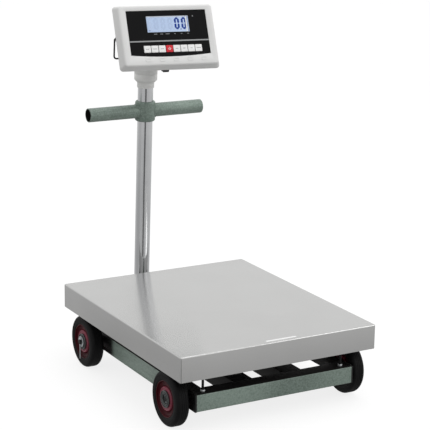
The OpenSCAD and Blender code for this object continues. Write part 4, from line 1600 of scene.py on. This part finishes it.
    def stand(self) -> None:
        """Wire stand that hinges in the rear shell's bosses, bent from one rod."""
        hinge = self.site.point("stand_fold")
        across = self.site.axis("stand_fold")
        outwards = -self.site.axis("key_1_press")
        opened = Matrix.Rotation(math.radians(self.stand_open), 3, across) @ outwards
        place = frame_of(hinge, across, opened)
        half, arm, hook, bend = self.stand_half, self.stand_arm, 2.5, 6.0
        side: Outline = [
            (half - 12, 0.0),
            *arc((half - hook, -hook), hook, 90, 0, 5),
            *arc((half - bend, -arm + bend), bend, 0, -90, 8),
        ]
        path = [place @ Vector((x, y, 0)) for x, y in (*side, *((-x, y) for x, y in reversed(side)))]
        wire = Form().sweep(path, [self.wire_radius] * len(path), sides=16)
        self.site.fit(wire.piece("stand_bail_wire", angle=60.0), POWDER_AND_PAINTED_SHADE, "stand_bail")


# ---- Studio ----


@dataclass(frozen=True)
class Flag:
    """A dark card beside the set that a polished surface shows as a soft band.

    Attributes:
        azimuth: Direction of the card from the object, in degrees, 0 at the front and 90 at the right.
        half_width: Half of the angle that it covers, in degrees.
        softness: Width of its soft edge, in degrees.
        shade: Share of the light that it takes away.
    """

    azimuth: float
    half_width: float
    softness: float
    shade: float


@dataclass(frozen=True)
class Softbox:
    """A round soft light that points at the object, its distances in metres and its power in watts."""

    name: str
    place: tuple[float, float, float]
    size: float
    power: float


@dataclass(frozen=True)
class Studio:
    """Camera, floor, sky and lights. Angles are in degrees, distances in metres.

    Attributes:
        below: Brightness of the surround under the object, where above it is one.
        fade: Heights between which the surround brightens, as shares of a unit direction.
        floor_glow: Light that the floor gives off itself, which keeps its shadows pale.
        aim: Point that the softboxes light.
        flags: Cards that dim the surround: a broad one at the front left, then two narrower ones.
    """

    azimuth: float = -29.62
    elevation: float = 14.48
    roll: float = -0.93
    distance: float = 3.7005
    target: tuple[float, float, float] = (0.029, 0.0, 0.383)
    lens: float = 131.8
    below: float = 0.45
    fade: tuple[float, float] = (-0.5, 0.2)
    floor_radius: float = 60.0
    floor_glow: float = 0.82
    aim: tuple[float, float, float] = (0.0, 0.0, 0.3)
    flags: tuple[Flag, ...] = (
        Flag(-60.0, 20.0, 110.0, 0.12),
        Flag(-20.0, 7.0, 7.0, 0.8),
        Flag(-108.0, 14.0, 26.0, 0.15),
    )
    softboxes: tuple[Softbox, ...] = (
        Softbox("softbox_overhead", (0.4, -0.2, 3.6), 2.6, 30.0),
        Softbox("softbox_front_right", (2.4, -2.6, 2.2), 1.6, 14.0),
    )

    def build(self) -> None:
        """Sets up the studio."""
        self.camera()
        self.sky()
        self.floor()
        self.lights()
        bpy.context.scene.view_settings.view_transform = "Standard"

    def camera(self) -> None:
        """Places the camera and makes it the scene's."""
        turn, rise, roll = (math.radians(a) for a in (self.azimuth, self.elevation, self.roll))
        back = Vector((math.sin(turn) * math.cos(rise), -math.cos(turn) * math.cos(rise), math.sin(rise)))
        right = (-back).cross(Vector((0, 0, 1))).normalized()
        down = (-back).cross(right)
        rolled = math.cos(roll) * right + math.sin(roll) * down
        lens = bpy.data.cameras.new("camera")
        lens.lens = self.lens
        lens.clip_end = 200.0
        camera = bpy.data.objects.new("camera", lens)
        camera.matrix_world = frame_of(Vector(self.target) + back * self.distance, rolled, back)
        bpy.context.scene.collection.objects.link(camera)
        bpy.context.scene.camera = camera

    def sky(self) -> None:
        """A pale surround, dimmer in front and to the left, dark below, with the flags' bands."""
        world = bpy.data.worlds.new("studio_surround")
        world.use_nodes = True
        tree = world.node_tree
        tree.nodes.clear()
        direction = add_node(tree, "TexCoord").outputs["Generated"]
        height = add_node(tree, "SeparateXYZ", inputs={0: direction}).outputs["Z"]
        flat = add_node(tree, "VectorMath", {"operation": "MULTIPLY"}, {0: direction, 1: (1, 1, 0)})
        level = add_node(tree, "VectorMath", {"operation": "NORMALIZE"}, {0: flat.outputs[0]}).outputs[0]
        dark, bright = self.fade
        light = remapped(tree, height, dark, bright, (self.below, 1.0), soft=True)
        for flag in self.flags:
            light = self.dimmed(tree, level, light, flag)
        background = add_node(tree, "Background", inputs={"Color": linear("#ffffff"), "Strength": light})
        add_node(tree, "OutputWorld", inputs={"Surface": background.outputs[0]})
        bpy.context.scene.world = world

    def dimmed(self, tree: Tree, level: Socket, light: Socket, flag: Flag) -> Socket:
        """Takes a flag's share away from the light around its direction.

        Args:
            tree: The world's node tree.
            level: Level direction that a ray leaves in.
            light: Light so far.
            flag: The flag.

        Returns:
            The light that is left.
        """
        turn = math.radians(flag.azimuth)
        towards = Vector((math.sin(turn), -math.cos(turn), 0))
        near = add_node(tree, "VectorMath", {"operation": "DOT_PRODUCT"}, {0: level, 1: towards})
        edge, core = (
            math.cos(math.radians(flag.half_width + soft)) for soft in (flag.softness, 0.0)
        )
        kept = remapped(tree, near.outputs["Value"], edge, core, (1.0, 1.0 - flag.shade), soft=True)
        return calculated(tree, "MULTIPLY", light, kept)

    def floor(self) -> None:
        """A wide pale floor that glows a little, so that shadows on it stay light."""
        radius = self.floor_radius / MM
        floor = Form().revolve([(radius, -20.0), (radius, 0.0)], None, False, 64).piece("floor")
        material = bpy.data.materials.new("paper_sweep_white")
        material.use_nodes = True
        tree = material.node_tree
        tree.nodes.clear()
        place = add_node(tree, "TexCoord").outputs["Object"]
        fibre = add_node(tree, "TexNoise", inputs={"Vector": place, "Scale": 4.0})
        rough = remapped(tree, fibre.outputs["Fac"], to=(0.8, 0.95))
        shader = add_node(
            tree,
            "BsdfPrincipled",
            inputs={
                "Base Color": linear("#7e7e7e"),
                "Roughness": rough,
                "Specular IOR Level": 0.0,
                "Emission Color": linear("#ffffff"),
                "Emission Strength": self.floor_glow,
            },
        )
        add_node(tree, "OutputMaterial", inputs={"Surface": shader.outputs[0]})
        floor.data.materials.append(material)
        floor.visible_glossy = False
        floor.visible_diffuse = False

    def lights(self) -> None:
        """Hangs the softboxes and turns them to the object."""
        for box in self.softboxes:
            lamp = bpy.data.lights.new(box.name, "AREA")
            lamp.shape = "DISK"
            lamp.size = box.size
            lamp.energy = box.power
            holder = bpy.data.objects.new(box.name, lamp)
            holder.location = box.place
            towards = Vector(self.aim) - Vector(box.place)
            holder.rotation_mode = "QUATERNION"
            holder.rotation_quaternion = towards.to_track_quat("-Z", "Y")
            bpy.context.scene.collection.objects.link(holder)


def main() -> None:
    """Builds the studio and the sub-assemblies in order."""
    logging.basicConfig(level=logging.INFO, format="%(name)s: %(message)s", stream=sys.stdout)
    site = Site.from_frame(frame)
    parts: Iterable[object] = (
        Studio(),
        Pan(site),
        BaseFrame(site),
        LoadStack(site),
        *(Wheel(site, corner) for corner in Corner),
        Axles(site),
        Mast(site),
        Indicator(site),
    )
    for part in parts:
        log.info("building %s", type(part).__name__)
        part.build()


if __name__ == "__main__":
    main()
